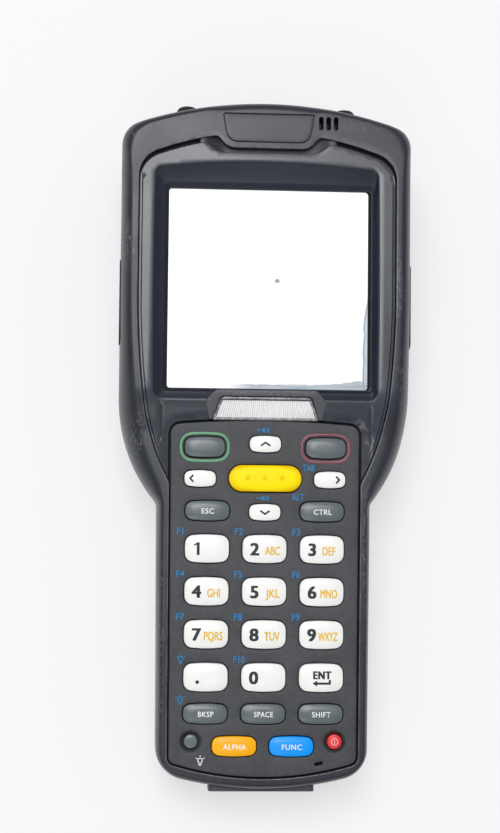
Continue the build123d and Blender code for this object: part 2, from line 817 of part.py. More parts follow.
# ================================================================ side buttons
for name, hand in (("side_button_left", -1), ("side_button_right", 1)):
    with BuildPart() as side_button:
        with BuildSketch(side.offset(hand * (flange_x - 0.1))):
            with Locations((side_button_y, side_button_z)):
                RectangleRounded(side_button_length, side_button_height, 2.0)
        extrude(amount=hand * (head_half_width + side_button_proud - flange_x + 0.1))
        with BuildSketch(side.offset(hand * flange_x)):
            with Locations((side_button_y, side_button_z)):
                RectangleRounded(
                    side_button_length + 2 * (side_flange + slide_gap),
                    side_button_height + 2 * side_flange,
                    2.4,
                )
        extrude(amount=-hand * side_flange_thickness)
    save(side_button, name)

# ================================================================ rear housing
rear_depth = 45.0  # further down than the table


def trough(grow, mode):
    """Finger trough across the back, or the material that has to stay round it."""
    with BuildSketch(Plane.YZ) as section:
        with BuildLine():
            Polyline(
                (trough_low_y - grow, 0),
                (trough_low_y - grow + trough_slope, trough_depth + grow),
                (trough_high_y + grow - trough_slope, trough_depth + grow),
                (trough_high_y + grow, 0),
                close=True,
            )
        make_face()
    extrude(section.sketch, amount=wide, both=True, mode=mode)


def bay(grow, low, high, mode):
    """The battery's bay, or a box that is larger all round, between two heights above the table."""
    with BuildSketch(Plane.XY.offset(low)) as section:
        with Locations((0, (bay_low_y + bay_high_y) / 2)):
            RectangleRounded(
                2 * (bay_half_width + grow),
                bay_high_y - bay_low_y + 2 * grow,
                battery_corner_radius + grow,
            )
    extrude(section.sketch, amount=high - low, mode=mode)


scan_z = (scan_low_z + scan_high_z) / 2
scan_width = 2 * scan_half_width
scan_height = scan_high_z - scan_low_z
seat_plane = head_plane.offset(scan_glass_y - scan_glass_thickness)
engine_low_z = scan_z - engine_size[2] / 2
engine_y = scan_glass_y - scan_glass_thickness - scan_frame - engine_size[1] / 2
floor_z = wall  # inside of the back, above the table

with BuildPart() as rear_cavity:
    with BuildSketch(face.offset(parting_z)):
        add(body_outline(wall))
    extrude(amount=-rear_depth, taper=rear_draft)
    split(bisect_by=Plane.XY.offset(floor_z), keep=Keep.TOP)
    bay(bay_wall, 0, bay_height + bay_wall, Mode.SUBTRACT)
    trough(wall, Mode.SUBTRACT)
    for x, y in screw_places:
        disc(x, y, rear_boss_radius, parting_z - rear_depth, parting_z, Mode.SUBTRACT)
    with BuildSketch(seat_plane.offset(-scan_frame / 2)):
        with Locations((0, scan_z)):
            RectangleRounded(scan_width + 2 * scan_frame, scan_height + 2 * scan_frame, scan_corner_radius)
    extrude(amount=wide, mode=Mode.SUBTRACT)
    for y in (engine_y - engine_size[1] / 3, engine_y + engine_size[1] / 3):
        block(0, y, engine_size[0] - 4, wall, parting_z - rear_depth, engine_low_z, Mode.SUBTRACT)

with BuildPart() as rear_housing:
    with BuildSketch(face.offset(parting_z)):
        add(body_outline())
    extrude(amount=-rear_depth, taper=rear_draft)
    split(bisect_by=Plane.XY, keep=Keep.TOP)
    fillet(rear_housing.faces().sort_by(Axis.Z)[0].edges(), back_roll_radius)
    add(rear_cavity.part, mode=Mode.SUBTRACT)
    bay(bay_wall, wall, bay_height + bay_wall, Mode.ADD)
    bay(0, 0, bay_height, Mode.SUBTRACT)
    trough(0, Mode.SUBTRACT)
    for x, y in screw_places:
        disc(x, y, well_radius, parting_z - rear_depth, parting_z - screw_seat_depth, Mode.SUBTRACT)
        disc(x, y, screw_radius + screw_clearance, parting_z - screw_seat_depth, parting_z, Mode.SUBTRACT)
    with BuildSketch(seat_plane):
        with Locations((0, scan_z)):
            RectangleRounded(scan_width, scan_height, scan_corner_radius)
    extrude(amount=wide / 4, mode=Mode.SUBTRACT)
    with BuildSketch(seat_plane.offset(-scan_frame)):
        with Locations((0, scan_z)):
            Rectangle(scan_width - 4, scan_height - 4)
    extrude(amount=scan_frame, mode=Mode.SUBTRACT)
    with BuildSketch(head_plane.offset(head_top_y - 5)):
        with Locations((-bumper_x, bumper_z), (bumper_x, bumper_z)):
            SlotOverall(bumper_length, 2 * bumper_radius, rotation=90)
    extrude(amount=wide / 4, mode=Mode.SUBTRACT)
    with BuildSketch(face.offset(parting_z)):
        add(body_outline(seal_inset))
        add(body_outline(seal_inset + seal_width), mode=Mode.SUBTRACT)
    extrude(amount=-seal_height, mode=Mode.SUBTRACT)
    latch_middle_y = latch_y + latch_travel / 2
    with Locations((0, latch_middle_y, trough_depth)):
        Box(
            latch_size[0] + 2 * slide_gap,
            latch_size[1] + latch_travel + 2 * slide_gap,
            3 * wall,
            mode=Mode.SUBTRACT,
        )
    tongue_z = trough_depth + wall + slide_gap + tongue_height / 2
    with Locations((0, bay_high_y, tongue_z)):
        Box(
            tongue_width + 2 * slide_gap,
            4 * bay_wall,
            tongue_height + 2 * slide_gap,
            mode=Mode.SUBTRACT,
        )
    with BuildSketch(Plane.XY.offset(bay_height)):
        with GridLocations(contact_pitch, 1, contact_count, 1):
            with Locations((0, contact_y)):
                Circle(contact_size[0] / 2)
    extrude(amount=bay_wall, mode=Mode.SUBTRACT)
save(rear_housing, "rear_housing")

with BuildPart() as housing_seal:
    with BuildSketch(face.offset(parting_z)):
        add(body_outline(seal_inset))
        add(body_outline(seal_inset + seal_width), mode=Mode.SUBTRACT)
    extrude(amount=-seal_height)
save(housing_seal, "housing_seal")

with BuildPart() as housing_screws:
    for x, y in screw_places:
        seat = parting_z - screw_seat_depth
        disc(x, y, screw_head_radius, seat - screw_head_height, seat)
        disc(x, y, screw_radius, seat, seat + screw_length)
save(housing_screws, "housing_screws")

# ================================================================ scan window, engine, bumpers
with BuildPart() as scan_window:
    with BuildSketch(seat_plane):
        with Locations((0, scan_z)):
            RectangleRounded(scan_width - 0.2, scan_height - 0.2, scan_corner_radius)
    extrude(amount=scan_glass_thickness)
save(scan_window, "scan_window")

with BuildPart() as scan_engine:
    block(0, engine_y, engine_size[0], engine_size[1], engine_low_z, engine_low_z + engine_size[2])
save(scan_engine, "scan_engine")

with BuildPart() as bumpers:
    with BuildSketch(head_plane.offset(head_top_y - 5)):
        with Locations((-bumper_x, bumper_z), (bumper_x, bumper_z)):
            SlotOverall(bumper_length, 2 * bumper_radius, rotation=90)
    extrude(amount=bumper_depth)
    ends = bumpers.faces().filter_by(lambda f: (f.normal_at() - head_plane.z_dir).length < 0.01)
    fillet(ends.edges(), 1.2)
save(bumpers, "bumpers")

# ================================================================ battery, its contacts and its latch
with BuildPart() as battery_pack:
    bay(-slide_gap, 0, battery_height, Mode.ADD)
    fillet(battery_pack.faces().sort_by(Axis.Z)[0].edges(), battery_edge_radius)
    with Locations((0, bay_high_y, tongue_z)):
        Box(
            tongue_width + 4 * slide_gap,
            2 * (bay_wall + slide_gap),
            tongue_height + 4 * slide_gap,
            mode=Mode.SUBTRACT,
        )
save(battery_pack, "battery_pack")

with BuildPart() as battery_contacts:
    with BuildSketch(Plane.XY.offset(bay_height)):
        with GridLocations(contact_pitch, 1, contact_count, 1):
            with Locations((0, contact_y)):
                Circle(contact_size[0] / 2)
    extrude(amount=contact_size[1])
save(battery_contacts, "battery_contacts")

flange_low_z = trough_depth + wall + slide_gap
with BuildPart() as battery_latch:
    with BuildSketch(Plane.XY.offset(trough_depth - latch_proud)):
        with Locations((0, latch_y)):
            RectangleRounded(*latch_size, 1.5)
    extrude(amount=latch_proud + wall + slide_gap)
    with BuildSketch(Plane.XY.offset(flange_low_z)):
        with Locations((0, latch_middle_y)):
            Rectangle(latch_size[0] + 4, latch_size[1] + latch_travel + 4)
        with Locations((0, (bay_high_y + latch_y) / 2)):
            Rectangle(tongue_width, latch_y - bay_high_y)
    extrude(amount=tongue_height)
    with Locations((0, latch_y, trough_depth - latch_proud)):
        with GridLocations(1, latch_rib_pitch / 2, 1, latch_rib_count):
            Box(latch_size[0] - 3, latch_rib_pitch / 4, 0.8, mode=Mode.SUBTRACT)
save(battery_latch, "battery_latch")

# ================================================================ dock connector
with BuildPart() as dock_connector:
    dock_flange(dock_flange_depth)
    dock_body(dock_proud + 3.3)
    with BuildSketch(dock_plane):
        with Locations((0, (dock_low_z + dock_high_z) / 2)):
            with GridLocations(dock_contact_pitch, 1, dock_contact_count, 1):
                Rectangle(*dock_contact_size)
    extrude(amount=-dock_contact_depth, mode=Mode.SUBTRACT)
save(dock_connector, "dock_connector")

with BuildPart() as dock_contacts:
    with BuildSketch(dock_plane.offset(-dock_contact_depth)):
        with Locations((0, (dock_low_z + dock_high_z) / 2)):
            with GridLocations(dock_contact_pitch, 1, dock_contact_count, 1):
                Rectangle(*dock_contact_size)
    extrude(amount=dock_contact_depth / 2)
save(dock_contacts, "dock_contacts")
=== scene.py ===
# %% [markdown]
# # A handheld barcode terminal, dressed for rendering
#
# The object is a data terminal with a rugged dark housing: a wide head with a display and a scan window, and a
# narrower grip with 28 keys. The CAD model holds every solid at its real size, in metres, and each of its nodes
# rides on a body that a joint can move. This notebook keeps the nodes whose shape is right, gives them finishes,
# and adds surfaces worked out with numpy where the real object has softer or finer forms.
#
# The first cell loads the imported model.

# %% Load the imported model
import bmesh, bpy, math
import numpy as np
from mathutils import Matrix, Vector
from mathutils.geometry import delaunay_2d_cdt


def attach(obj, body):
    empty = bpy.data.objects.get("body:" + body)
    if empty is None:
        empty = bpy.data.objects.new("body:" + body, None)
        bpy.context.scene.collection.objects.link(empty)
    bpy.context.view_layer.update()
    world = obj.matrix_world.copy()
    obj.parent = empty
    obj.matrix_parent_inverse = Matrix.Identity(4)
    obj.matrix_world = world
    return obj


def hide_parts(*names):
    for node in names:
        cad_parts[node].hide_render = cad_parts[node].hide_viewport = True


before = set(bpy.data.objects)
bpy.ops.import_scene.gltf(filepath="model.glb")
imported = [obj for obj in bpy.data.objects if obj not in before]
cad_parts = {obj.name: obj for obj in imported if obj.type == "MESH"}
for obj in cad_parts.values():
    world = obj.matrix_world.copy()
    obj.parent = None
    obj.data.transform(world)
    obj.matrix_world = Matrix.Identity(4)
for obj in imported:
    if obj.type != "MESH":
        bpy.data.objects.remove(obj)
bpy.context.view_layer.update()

# %% [markdown]
# ## The face frame
#
# The terminal lies on its flat back, and its face is tilted by five degrees against the table. The front is easier
# to read in the face's own frame, in millimetres: x to the right, y towards the head, z out of the faceplate. One
# function carries points from there to the scene, so every shape below can be a flat drawing with heights.

# %% From the face frame to the scene
face_tilt = math.radians(5.0)
face_origin = np.array([0.0, -1.2, 33.0])  # the faceplate's middle, in millimetres above the table
quarter = math.pi / 2


def lay(x, y, z):
    """Scene points in metres: the face frame turned by its tilt about x, then moved to the face's origin."""
    x, y, z = np.broadcast_arrays(np.asarray(x, float), y, z)
    across = x + face_origin[0]
    along = y * math.cos(face_tilt) - z * math.sin(face_tilt) + face_origin[1]
    up = y * math.sin(face_tilt) + z * math.cos(face_tilt) + face_origin[2]
    return np.stack([across, along, up], axis=-1) / 1000


def pairs(x, y):
    """Points of a flat line from its coordinates."""
    return np.stack([x, y], axis=-1)


def at(plan, z):
    """A flat line lifted to one height, or to a height for each of its points."""
    return np.c_[plan, np.broadcast_to(z, len(plan))]


def laid(rings):
    """Rings of points of the face frame as rings of scene points."""
    return lay(*np.moveaxis(np.array(rings), -1, 0))


def share(value, start, end):
    """How far a value has come from start to end, between 0 and 1."""
    return np.clip((value - start) / (end - start), 0, 1)


print("middle of the faceplate:", lay(0, 0, 0))

# %% [markdown]
# ## Meshes from arrays
#
# A surface here is an array of rings: each ring is a closed line of points round the piece, and the rings follow
# one another across it. The faces join each point to its neighbours on the ring and on the next ring. Index
# arithmetic on whole arrays builds them fast, in clean rows of four-cornered faces that shade smoothly.

# %% Rings to faces, and arrays to a Blender object
def ring_faces(ring_count, around, closed=False, start=0):
    """Quads between neighbouring rings; with closed, the last ring is joined to the first as on a torus."""
    ring = np.arange(ring_count if closed else ring_count - 1)[:, None]
    step = np.arange(around)[None, :]
    here, there = ring * around, ((ring + 1) % ring_count) * around
    after = (step + 1) % around
    return np.stack([here + step, here + after, there + after, there + step], axis=-1).reshape(-1, 4) + start


def linked(name, data):
    """A new object of the scene."""
    made = bpy.data.objects.new(name, data)
    bpy.context.scene.collection.objects.link(made)
    return made


def piece_from(name, points, faces, finish, slot=None, body="housing", stands=False, sharp=None, worn=None):
    """Object from points and lists of faces, riding on a body; with stands, it replaces the node of its slot.

    worn holds a number from 0 to 1 for each point, which finishes read as the attribute of that name.
    """
    mesh = bpy.data.meshes.new(name)
    rows = [face for group in faces for face in (group.tolist() if hasattr(group, "tolist") else group)]
    mesh.from_pydata(np.asarray(points, float).reshape(-1, 3).tolist(), [], rows)
    mesh.update()
    mesh.shade_smooth()
    if sharp is not None:
        mesh.set_sharp_from_angle(angle=math.radians(sharp))
    piece = linked(name, mesh)
    mesh.materials.append(finish.material)
    if worn is not None:
        mesh.attributes.new("worn", "FLOAT", "POINT").data.foreach_set("value", np.asarray(worn, np.float32).ravel())
    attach(piece, body)
    if stands:
        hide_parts(slot)
    return piece


def loft(name, rings, finish, slot, closed=False, capped=False, **more):
    """Surface through rings of scene points; capped closes both ends with one flat face each."""
    count, around = rings.shape[:2]
    faces = [ring_faces(count, around, closed)]
    if capped:
        faces += [[list(range(around))[::-1]], [[(count - 1) * around + i for i in range(around)]]]
    return piece_from(name, rings, faces, finish, slot, **more)


print("mesh helpers ready")

# %% [markdown]
# ## Outlines
#
# A moulded part is first of all a plan: straight runs and wide arcs, joined by rounded corners. The helpers below
# take the runs of one half, round each corner with a curve that leaves both runs along their own direction, and
# mirror the result. Nested outlines get matching numbers of points, so a surface between them never twists.

# %% Runs, rounded corners and mirrored outlines
def on_arch(apex, radius, x):
    """Height at x of an arch whose apex is on the middle line; a negative radius opens upwards."""
    return apex - math.copysign(1, radius) * (abs(radius) - np.sqrt(radius**2 - np.asarray(x, float) ** 2))


def arch_run(apex, radius, x_from, x_to, count=80):
    """Points along such an arch."""
    x = np.linspace(x_from, x_to, count)
    return pairs(x, on_arch(apex, radius, x))


def straight_run(a, b, count=60):
    """Points along a straight run."""
    return np.asarray(a, float) + np.linspace(0, 1, count)[:, None] * (np.asarray(b, float) - np.asarray(a, float))


def trimmed(run, from_start, from_end, count=None):
    """Points at equal distances along a run that is shortened at both ends."""
    along = np.concatenate([[0], np.cumsum(np.hypot(*np.diff(run, axis=0).T))])
    places = np.linspace(from_start, along[-1] - from_end, count or len(run))
    return pairs(np.interp(places, along, run[:, 0]), np.interp(places, along, run[:, 1]))


def resampled(run, count, ends=True):
    """Points at equal distances along a run; without ends, the last one is left out."""
    return trimmed(run, 0, 0, count if ends else count + 1)[:count]


def rounded_runs(runs, radii):
    """Runs with a curve put in at each corner: a cubic whose handles follow the two runs, as a near circle."""
    runs, curves = list(runs), []
    for i, radius in enumerate(radii):
        before, after = runs[i], runs[i + 1]
        if not radius:
            curves.append(None)
            continue
        entering = (before[-1] - before[-3]) / np.hypot(*(before[-1] - before[-3]))
        leaving = (after[2] - after[0]) / np.hypot(*(after[2] - after[0]))
        turn = math.acos(np.clip(entering @ leaving, -1, 1))
        back = radius * math.tan(turn / 2)
        runs[i], runs[i + 1] = trimmed(before, 0, back), trimmed(after, back, 0)
        start, end = runs[i][-1], runs[i + 1][0]
        handle = 4 / 3 * math.tan(turn / 4) * radius
        t = np.linspace(0, 1, 24)[:, None]
        curves.append((1 - t) ** 3 * start + 3 * (1 - t) ** 2 * t * (start + handle * entering)
                      + 3 * (1 - t) * t**2 * (end - handle * leaving) + t**3 * end)
    joined_runs = [runs[0]]
    for curve, run in zip(curves, runs[1:]):
        joined_runs += [run] if curve is None else [curve, run]
    return joined_runs


def chained(runs):
    """Runs as one line, with the points that they share kept once."""
    return np.concatenate([run[:-1] for run in runs[:-1]] + [runs[-1]])


def mirrored(half):
    """Closed outline from the right half, which goes from the top of the middle line down to its foot."""
    return np.concatenate([half, half[1:-1][::-1] * [-1, 1]])


def cornered(points, radii, count):
    """Closed outline whose right half goes straight from point to point, with rounded corners."""
    runs = rounded_runs([straight_run(a, b) for a, b in zip(points, points[1:])], radii)
    return mirrored(resampled(chained(runs), count))


def unit(directions):
    """Directions brought to a length of 1."""
    return directions / np.hypot(*directions.T)[:, None]


def leftward(directions):
    """Directions turned to the left by a right angle."""
    return directions[:, ::-1] * [-1, 1]


def grown(outline, distance):
    """Closed outline moved outwards along its normals; all outlines here run clockwise."""
    return outline + distance * leftward(unit(np.roll(outline, -1, axis=0) - np.roll(outline, 1, axis=0)))


print("outline helpers ready")

# %% [markdown]
# ## Shader sums written as sums
#
# A procedural material is arithmetic on noise and coordinates, which is hard to read as nodes. So a small class
# wraps an output socket and overloads the operators: `0.3 + 0.2 * noise` adds the two Math nodes that it stands
# for. Colours and vectors go through Mix and Vector Math nodes, because a Math node would turn them grey.

# %% A socket that can be added, multiplied and compared
class Reading:
    """An output socket of a material; operators on it add Math nodes and give the result's socket."""

    def __init__(self, finish, socket):
        self.finish, self.socket = finish, socket

    def through(self, operation, *values, clamp=False):
        settings = {"operation": operation, "use_clamp": clamp}
        return self.finish.node("ShaderNodeMath", settings, dict(enumerate(values)))

    def most(self, other): return self.through("MAXIMUM", self, other)
    def root(self): return self.through("SQRT", self)
    def wave(self): return self.through("SINE", self)
    def clipped(self): return self.through("ADD", self, 0.0, clamp=True)

    def between(self, low, high):
        """0 below low, 1 above high and a soft step from one to the other; high may be below low."""
        return self.finish.node(
            "ShaderNodeMapRange", {"interpolation_type": "SMOOTHSTEP"},
            {"Value": self, "From Min": low, "From Max": high, "To Min": 0.0, "To Max": 1.0})


def overload(title, operation):
    """Gives Reading an operator, with the reading on either side of it."""
    setattr(Reading, f"__{title}__", lambda reading, other: reading.through(operation, reading, other))
    setattr(Reading, f"__r{title}__", lambda reading, other: reading.through(operation, other, reading))


for title, operation in {"add": "ADD", "sub": "SUBTRACT", "mul": "MULTIPLY", "truediv": "DIVIDE",
                         "pow": "POWER"}.items():
    overload(title, operation)


class Finish:
    """A Principled material whose nodes are added by one method."""

    def __init__(self, name, **numbers):
        self.material = bpy.data.materials.new(name)
        self.material.use_nodes = True
        self.tree = self.material.node_tree
        self.tree.nodes.clear()
        self.shader = self.tree.nodes.new("ShaderNodeBsdfPrincipled")
        self.output = self.tree.nodes.new("ShaderNodeOutputMaterial")
        self.tree.links.new(self.shader.outputs[0], self.output.inputs["Surface"])
        self.set(**numbers)

    def feed(self, socket, value):
        """Links a reading to a socket, or writes a plain value into it."""
        if isinstance(value, Reading):
            self.tree.links.new(value.socket, socket)
        elif isinstance(value, tuple) and socket.type == "RGBA":
            socket.default_value = (*value[:3], 1.0)
        else:
            socket.default_value = value

    def node(self, kind, settings=(), values=(), output=0):
        """Adds a node: its settings first, then the links or values of its sockets, and gives one of its outputs."""
        made = self.tree.nodes.new(kind)
        for title, value in dict(settings).items():
            setattr(made, title, value)
        for title, value in dict(values).items():
            self.feed(made.inputs[title], value)
        return Reading(self, made.outputs[output])

    def place(self):
        """Object coordinates in metres."""
        return self.node("ShaderNodeTexCoord", output="Object")

    def face_place(self):
        """Object coordinates turned and moved into the face frame, in millimetres."""
        back = Matrix.Rotation(-face_tilt, 3, "X") @ Vector(face_origin)
        return self.node("ShaderNodeMapping", {"vector_type": "POINT"},
                         {"Vector": self.place(), "Location": tuple(-back), "Rotation": (-face_tilt, 0.0, 0.0),
                          "Scale": (1000.0, 1000.0, 1000.0)})

    def parts(self, vector):
        """The three numbers of a vector."""
        split = self.tree.nodes.new("ShaderNodeSeparateXYZ")
        self.tree.links.new(vector.socket, split.inputs[0])
        return [Reading(self, out) for out in split.outputs]

    def stretched(self, vector, scale):
        """A vector multiplied axis by axis."""
        return self.node("ShaderNodeVectorMath", {"operation": "MULTIPLY"}, {0: vector, 1: scale})

    def noise(self, scale, detail=2.0, roughness=0.5, stretch=None, face=False):
        """Fractal noise between 0 and 1 on metres or, with face, on millimetres of the face frame."""
        where = self.face_place() if face else self.place()
        where = self.stretched(where, stretch) if stretch else where
        return self.node("ShaderNodeTexNoise", {},
                         {"Vector": where, "Scale": scale, "Detail": detail, "Roughness": roughness})

    def blend(self, factor, first, second):
        """First colour where the factor is 0, second where it is 1."""
        return self.node("ShaderNodeMix", {"data_type": "RGBA"}, {0: factor, 6: first, 7: second}, 2)

    def bump(self, height, distance):
        """Normal bent by a height, given in metres for a height of 1."""
        return self.node("ShaderNodeBump", {}, {"Height": height, "Distance": distance})

    def set(self, **links):
        """Feeds inputs of the shader by name, with underscores for spaces."""
        for title, value in links.items():
            self.feed(self.shader.inputs[title.replace("_", " ")], value)
        return self


def tone(red, green, blue):
    """Linear colour from the 0 to 255 values that a screen shows."""
    screen = np.array([red, green, blue]) / 255
    return tuple(float(v) for v in np.where(screen <= 0.04045, screen / 12.92, ((screen + 0.055) / 1.055) ** 2.4))


def scaled(colour, by, plus=0.0):
    """A colour made lighter or darker."""
    return tuple(min(1.0, v * by + plus) for v in colour)


print("charcoal in linear light:", [round(v, 4) for v in tone(58, 60, 66)])

# %% [markdown]
# ## Finishes of the dark plastics
#
# The housing is glass-filled plastic with a fine spark-eroded grain. Handling polishes its high places and leaves
# lighter scuffs along the sides. All of that is noise on the object's own coordinates: a very fine height for the
# grain, a broad and weak one for the uneven sheen, and streaks that are allowed only near a few worn places.

# %% Charcoal housing plastic
def plastic(name, colour, roughness=0.5, grain=0.00002, grain_scale=2600.0, mottle=0.12, specular=0.4):
    """Moulded plastic: colour with a weak mottle, uneven sheen and a fine grain."""
    finish = Finish(name, Specular_IOR_Level=specular)
    broad = finish.noise(55.0, 4.0, 0.6)
    fine = finish.noise(grain_scale, 2.0, 0.6)
    speck = finish.noise(grain_scale * 0.45, 3.0, 0.65)
    finish.colour = finish.blend((0.6 * broad + 0.4 * speck).between(0.3, 0.7), scaled(colour, 1 - 1.4 * mottle),
                                 scaled(colour, 1 + 2.2 * mottle))
    finish.rough = roughness + 0.24 * (broad - 0.5) + 0.14 * (speck - 0.5)
    finish.grain = finish.bump(0.65 * fine + 0.35 * speck, grain)
    return finish.set(Base_Color=finish.colour, Roughness=finish.rough, Normal=finish.grain)


def edge_wear_and_highlight(finish, pale, strength=0.5):
    """Paints the colour paler where the mesh's own attribute marks an edge: edge wear and a painted highlight along it,
    broken up by noise.
    """
    mask = finish.node("ShaderNodeAttribute", {"attribute_name": "worn"}, output=2)
    patchy = finish.noise(1.0, 5.0, 0.7, (0.5, 0.16, 0.5), face=True).between(0.3, 0.62)
    finish.colour = finish.blend((mask * (0.15 + patchy) * strength).clipped(), finish.colour, pale)
    return finish.set(Base_Color=finish.colour)


def scuffed(finish, places, pale, streak_scale=(2.2, 0.25, 1.0)):
    """Adds pale streaks in ovals at the given places of the face, but not down on the flanks."""
    streaks = finish.noise(1.6, 5.0, 0.7, streak_scale, face=True).between(0.52, 0.68)
    chips = finish.noise(1.1, 4.0, 0.75, face=True).between(0.56, 0.66)
    x, y, z = finish.parts(finish.face_place())
    region = None
    for centre_x, centre_y, width, height, strength in places:
        away = ((x - centre_x) / width) ** 2.0 + ((y - centre_y) / height) ** 2.0
        here = (1.0 - away).clipped() * (z + 6.0).between(0.0, 3.5) * strength
        region = here if region is None else region.most(here)
    worn = (region.root() * (streaks * 0.7 + chips * 0.6)).clipped()
    finish.colour = finish.blend(worn, finish.colour, pale)
    return finish.set(Base_Color=finish.colour, Roughness=finish.rough + 0.15 * worn)


scuff_places = [  # x, y, half width, half height, strength
    (-38.6, 55.0, 2.2, 8.0, 1.0), (-35.5, 3.0, 2.6, 6.5, 0.9), (36.9, 46.0, 1.3, 11.5, 2.0),
    (36.9, 46.0, 1.0, 10.0, 4.0), (-37.5, 86.5, 2.0, 2.0, 0.8), (-33.0, 12.0, 1.2, 9.0, 0.4),
    (38.0, 20.0, 1.6, 9.0, 0.4), (28.3, -22.0, 1.3, 40.0, 0.7), (-28.3, -60.0, 1.2, 30.0, 0.6),
    (24.0, 90.0, 9.0, 2.0, 0.3)]
housing_plastic = edge_wear_and_highlight(scuffed(plastic("housing_plastic", tone(42, 44, 53), 0.33, specular=0.39), scuff_places,
                                    tone(128, 131, 138)), tone(150, 153, 160))
rear_plastic = plastic("rear_plastic", tone(50, 52, 58), 0.5, 0.00003, 1900.0)
bezel_plastic = edge_wear_and_highlight(plastic("bezel_plastic", tone(52, 55, 64), 0.22, 0.000012, 3000.0, 0.1, 0.46),
                          tone(165, 168, 175))
print("finishes:", [f.material.name for f in (housing_plastic, rear_plastic, bezel_plastic)])

# %% [markdown]
# ## The housing's front frame
#
# The front housing is a frame round the display and the keypad. From the front it is a flat band with a soft crest,
# and outside the crest it rolls away into a deep flank, deepest at the wings where the head narrows to the grip. A
# CAD fillet has one radius along the whole edge; the real roll changes from place to place. So the frame is drawn as
# rings between two matched outlines, the opening and the silhouette, and the roll is a quarter of an ellipse whose
# width and depth are functions of the place on the ring.

# %% Silhouette of both shells
head_half_width, head_top_y, head_arch_radius, head_corner = 41.1, 96.3, 115.0, 6.0
wing_top_y, wing_radius, waist_radius = 13.0, 45.3, 3.0
grip_half_width, heel_half_width, grip_end_y, grip_arch_radius, heel_radius = 30.1, 29.5, -95.3, 100.0, 9.0
parting_z = -14.0


def silhouette_runs():
    """Arch, side with wing, grip and end arch of the right half, with the corners between them."""
    shoulder_y = on_arch(head_top_y, head_arch_radius, head_half_width)
    angle = np.linspace(0, math.acos(1 - (head_half_width - grip_half_width) / wing_radius), 60)
    wing = pairs(head_half_width - wing_radius * (1 - np.cos(angle)), wing_top_y - wing_radius * np.sin(angle))
    side = chained([straight_run((head_half_width, shoulder_y), (head_half_width, wing_top_y)), wing])
    heel_y = on_arch(grip_end_y, -grip_arch_radius, heel_half_width)
    return rounded_runs([arch_run(head_top_y, head_arch_radius, 0, head_half_width), side,
                         straight_run(wing[-1], (heel_half_width, heel_y)),
                         arch_run(grip_end_y, -grip_arch_radius, heel_half_width, 0)],
                        [head_corner, waist_radius, heel_radius])


arch_out, corner_out, side_out, waist_out, grip_out, heel_out, foot_out = silhouette_runs()
print("points on the silhouette's side:", len(side_out))

# %% Opening of the frame: seam round the bezel, edge of the keypad's well, and the pod that hangs in from the cap
field_top_y, field_arch_radius, field_half_width, field_corner = 87.6, 88.0, 36.2, 8.0
field_straight_y, bend, tip = 43.0, (34.5, 13.5), (28.4, -7.6)
well_half_width, well_foot_half_width, well_low_y, well_low_radius, well_low_corner = 26.8, 26.4, -92.3, 86.0, 2.6
well_top_y, well_top_corner, well_top_bow = 7.1, 3.4, 520
pod_half_top, pod_half_low, pod_low_y, pod_corner, pod_foot_corner = 14.6, 11.6, 83.0, 5.0, 2.0


def seam_x(y):
    """Half width of the opening at y: straight, then two arcs that flow into one another, then the keypad's edge."""
    y = np.asarray(y, float)
    upper = ((field_half_width - bend[0]) ** 2 + (field_straight_y - bend[1]) ** 2) / 2 / (field_half_width - bend[0])
    lean = math.asin((field_straight_y - bend[1]) / upper)
    chord = np.array(tip) - bend
    lower = np.hypot(*chord) / 2 / math.sin(math.atan2(-chord[0], -chord[1]) - lean)
    centre = (bend[0] - lower * math.cos(lean), bend[1] + lower * math.sin(lean))
    first = field_half_width - upper + np.sqrt(np.maximum(upper**2 - (y - field_straight_y) ** 2, 0))
    second = centre[0] + np.sqrt(np.maximum(lower**2 - (y - centre[1]) ** 2, 0))
    field = np.where(y > field_straight_y, field_half_width, np.where(y > bend[1], first, second))
    well = well_half_width + (y - well_top_y) / (well_low_y - well_top_y) * (well_foot_half_width - well_half_width)
    return np.maximum(field, well)


def opening_runs():
    """Pod and arch, corner, side, corner and foot of the opening's right half."""
    x_arch = pod_half_top - 0.4
    pod_low = (pod_half_low, pod_low_y)
    pod = rounded_runs([straight_run((0, pod_low_y), pod_low),
                        straight_run(pod_low, (x_arch, on_arch(field_top_y, field_arch_radius, x_arch))),
                        arch_run(field_top_y, field_arch_radius, x_arch, field_half_width)],
                       [pod_corner, pod_foot_corner])
    y_side = np.linspace(on_arch(field_top_y, field_arch_radius, field_half_width),
                         on_arch(well_low_y, -well_low_radius, well_foot_half_width), 400)
    return rounded_runs([chained(pod), pairs(seam_x(y_side), y_side),
                         arch_run(well_low_y, -well_low_radius, well_foot_half_width, 0)],
                        [field_corner, well_low_corner])


counts = dict(top=110, corner=14, side=110, waist=8, grip=44, heel=12, foot=22)
top_in, corner_in, side_in, heel_in, foot_in = opening_runs()


def between_heights(run, high, low, count):
    """Points of a falling run at equal steps of height, without the last one."""
    heights = np.linspace(high, low, count + 1)[:-1]
    return pairs(np.interp(-heights, -run[:, 1], run[:, 0]), heights)


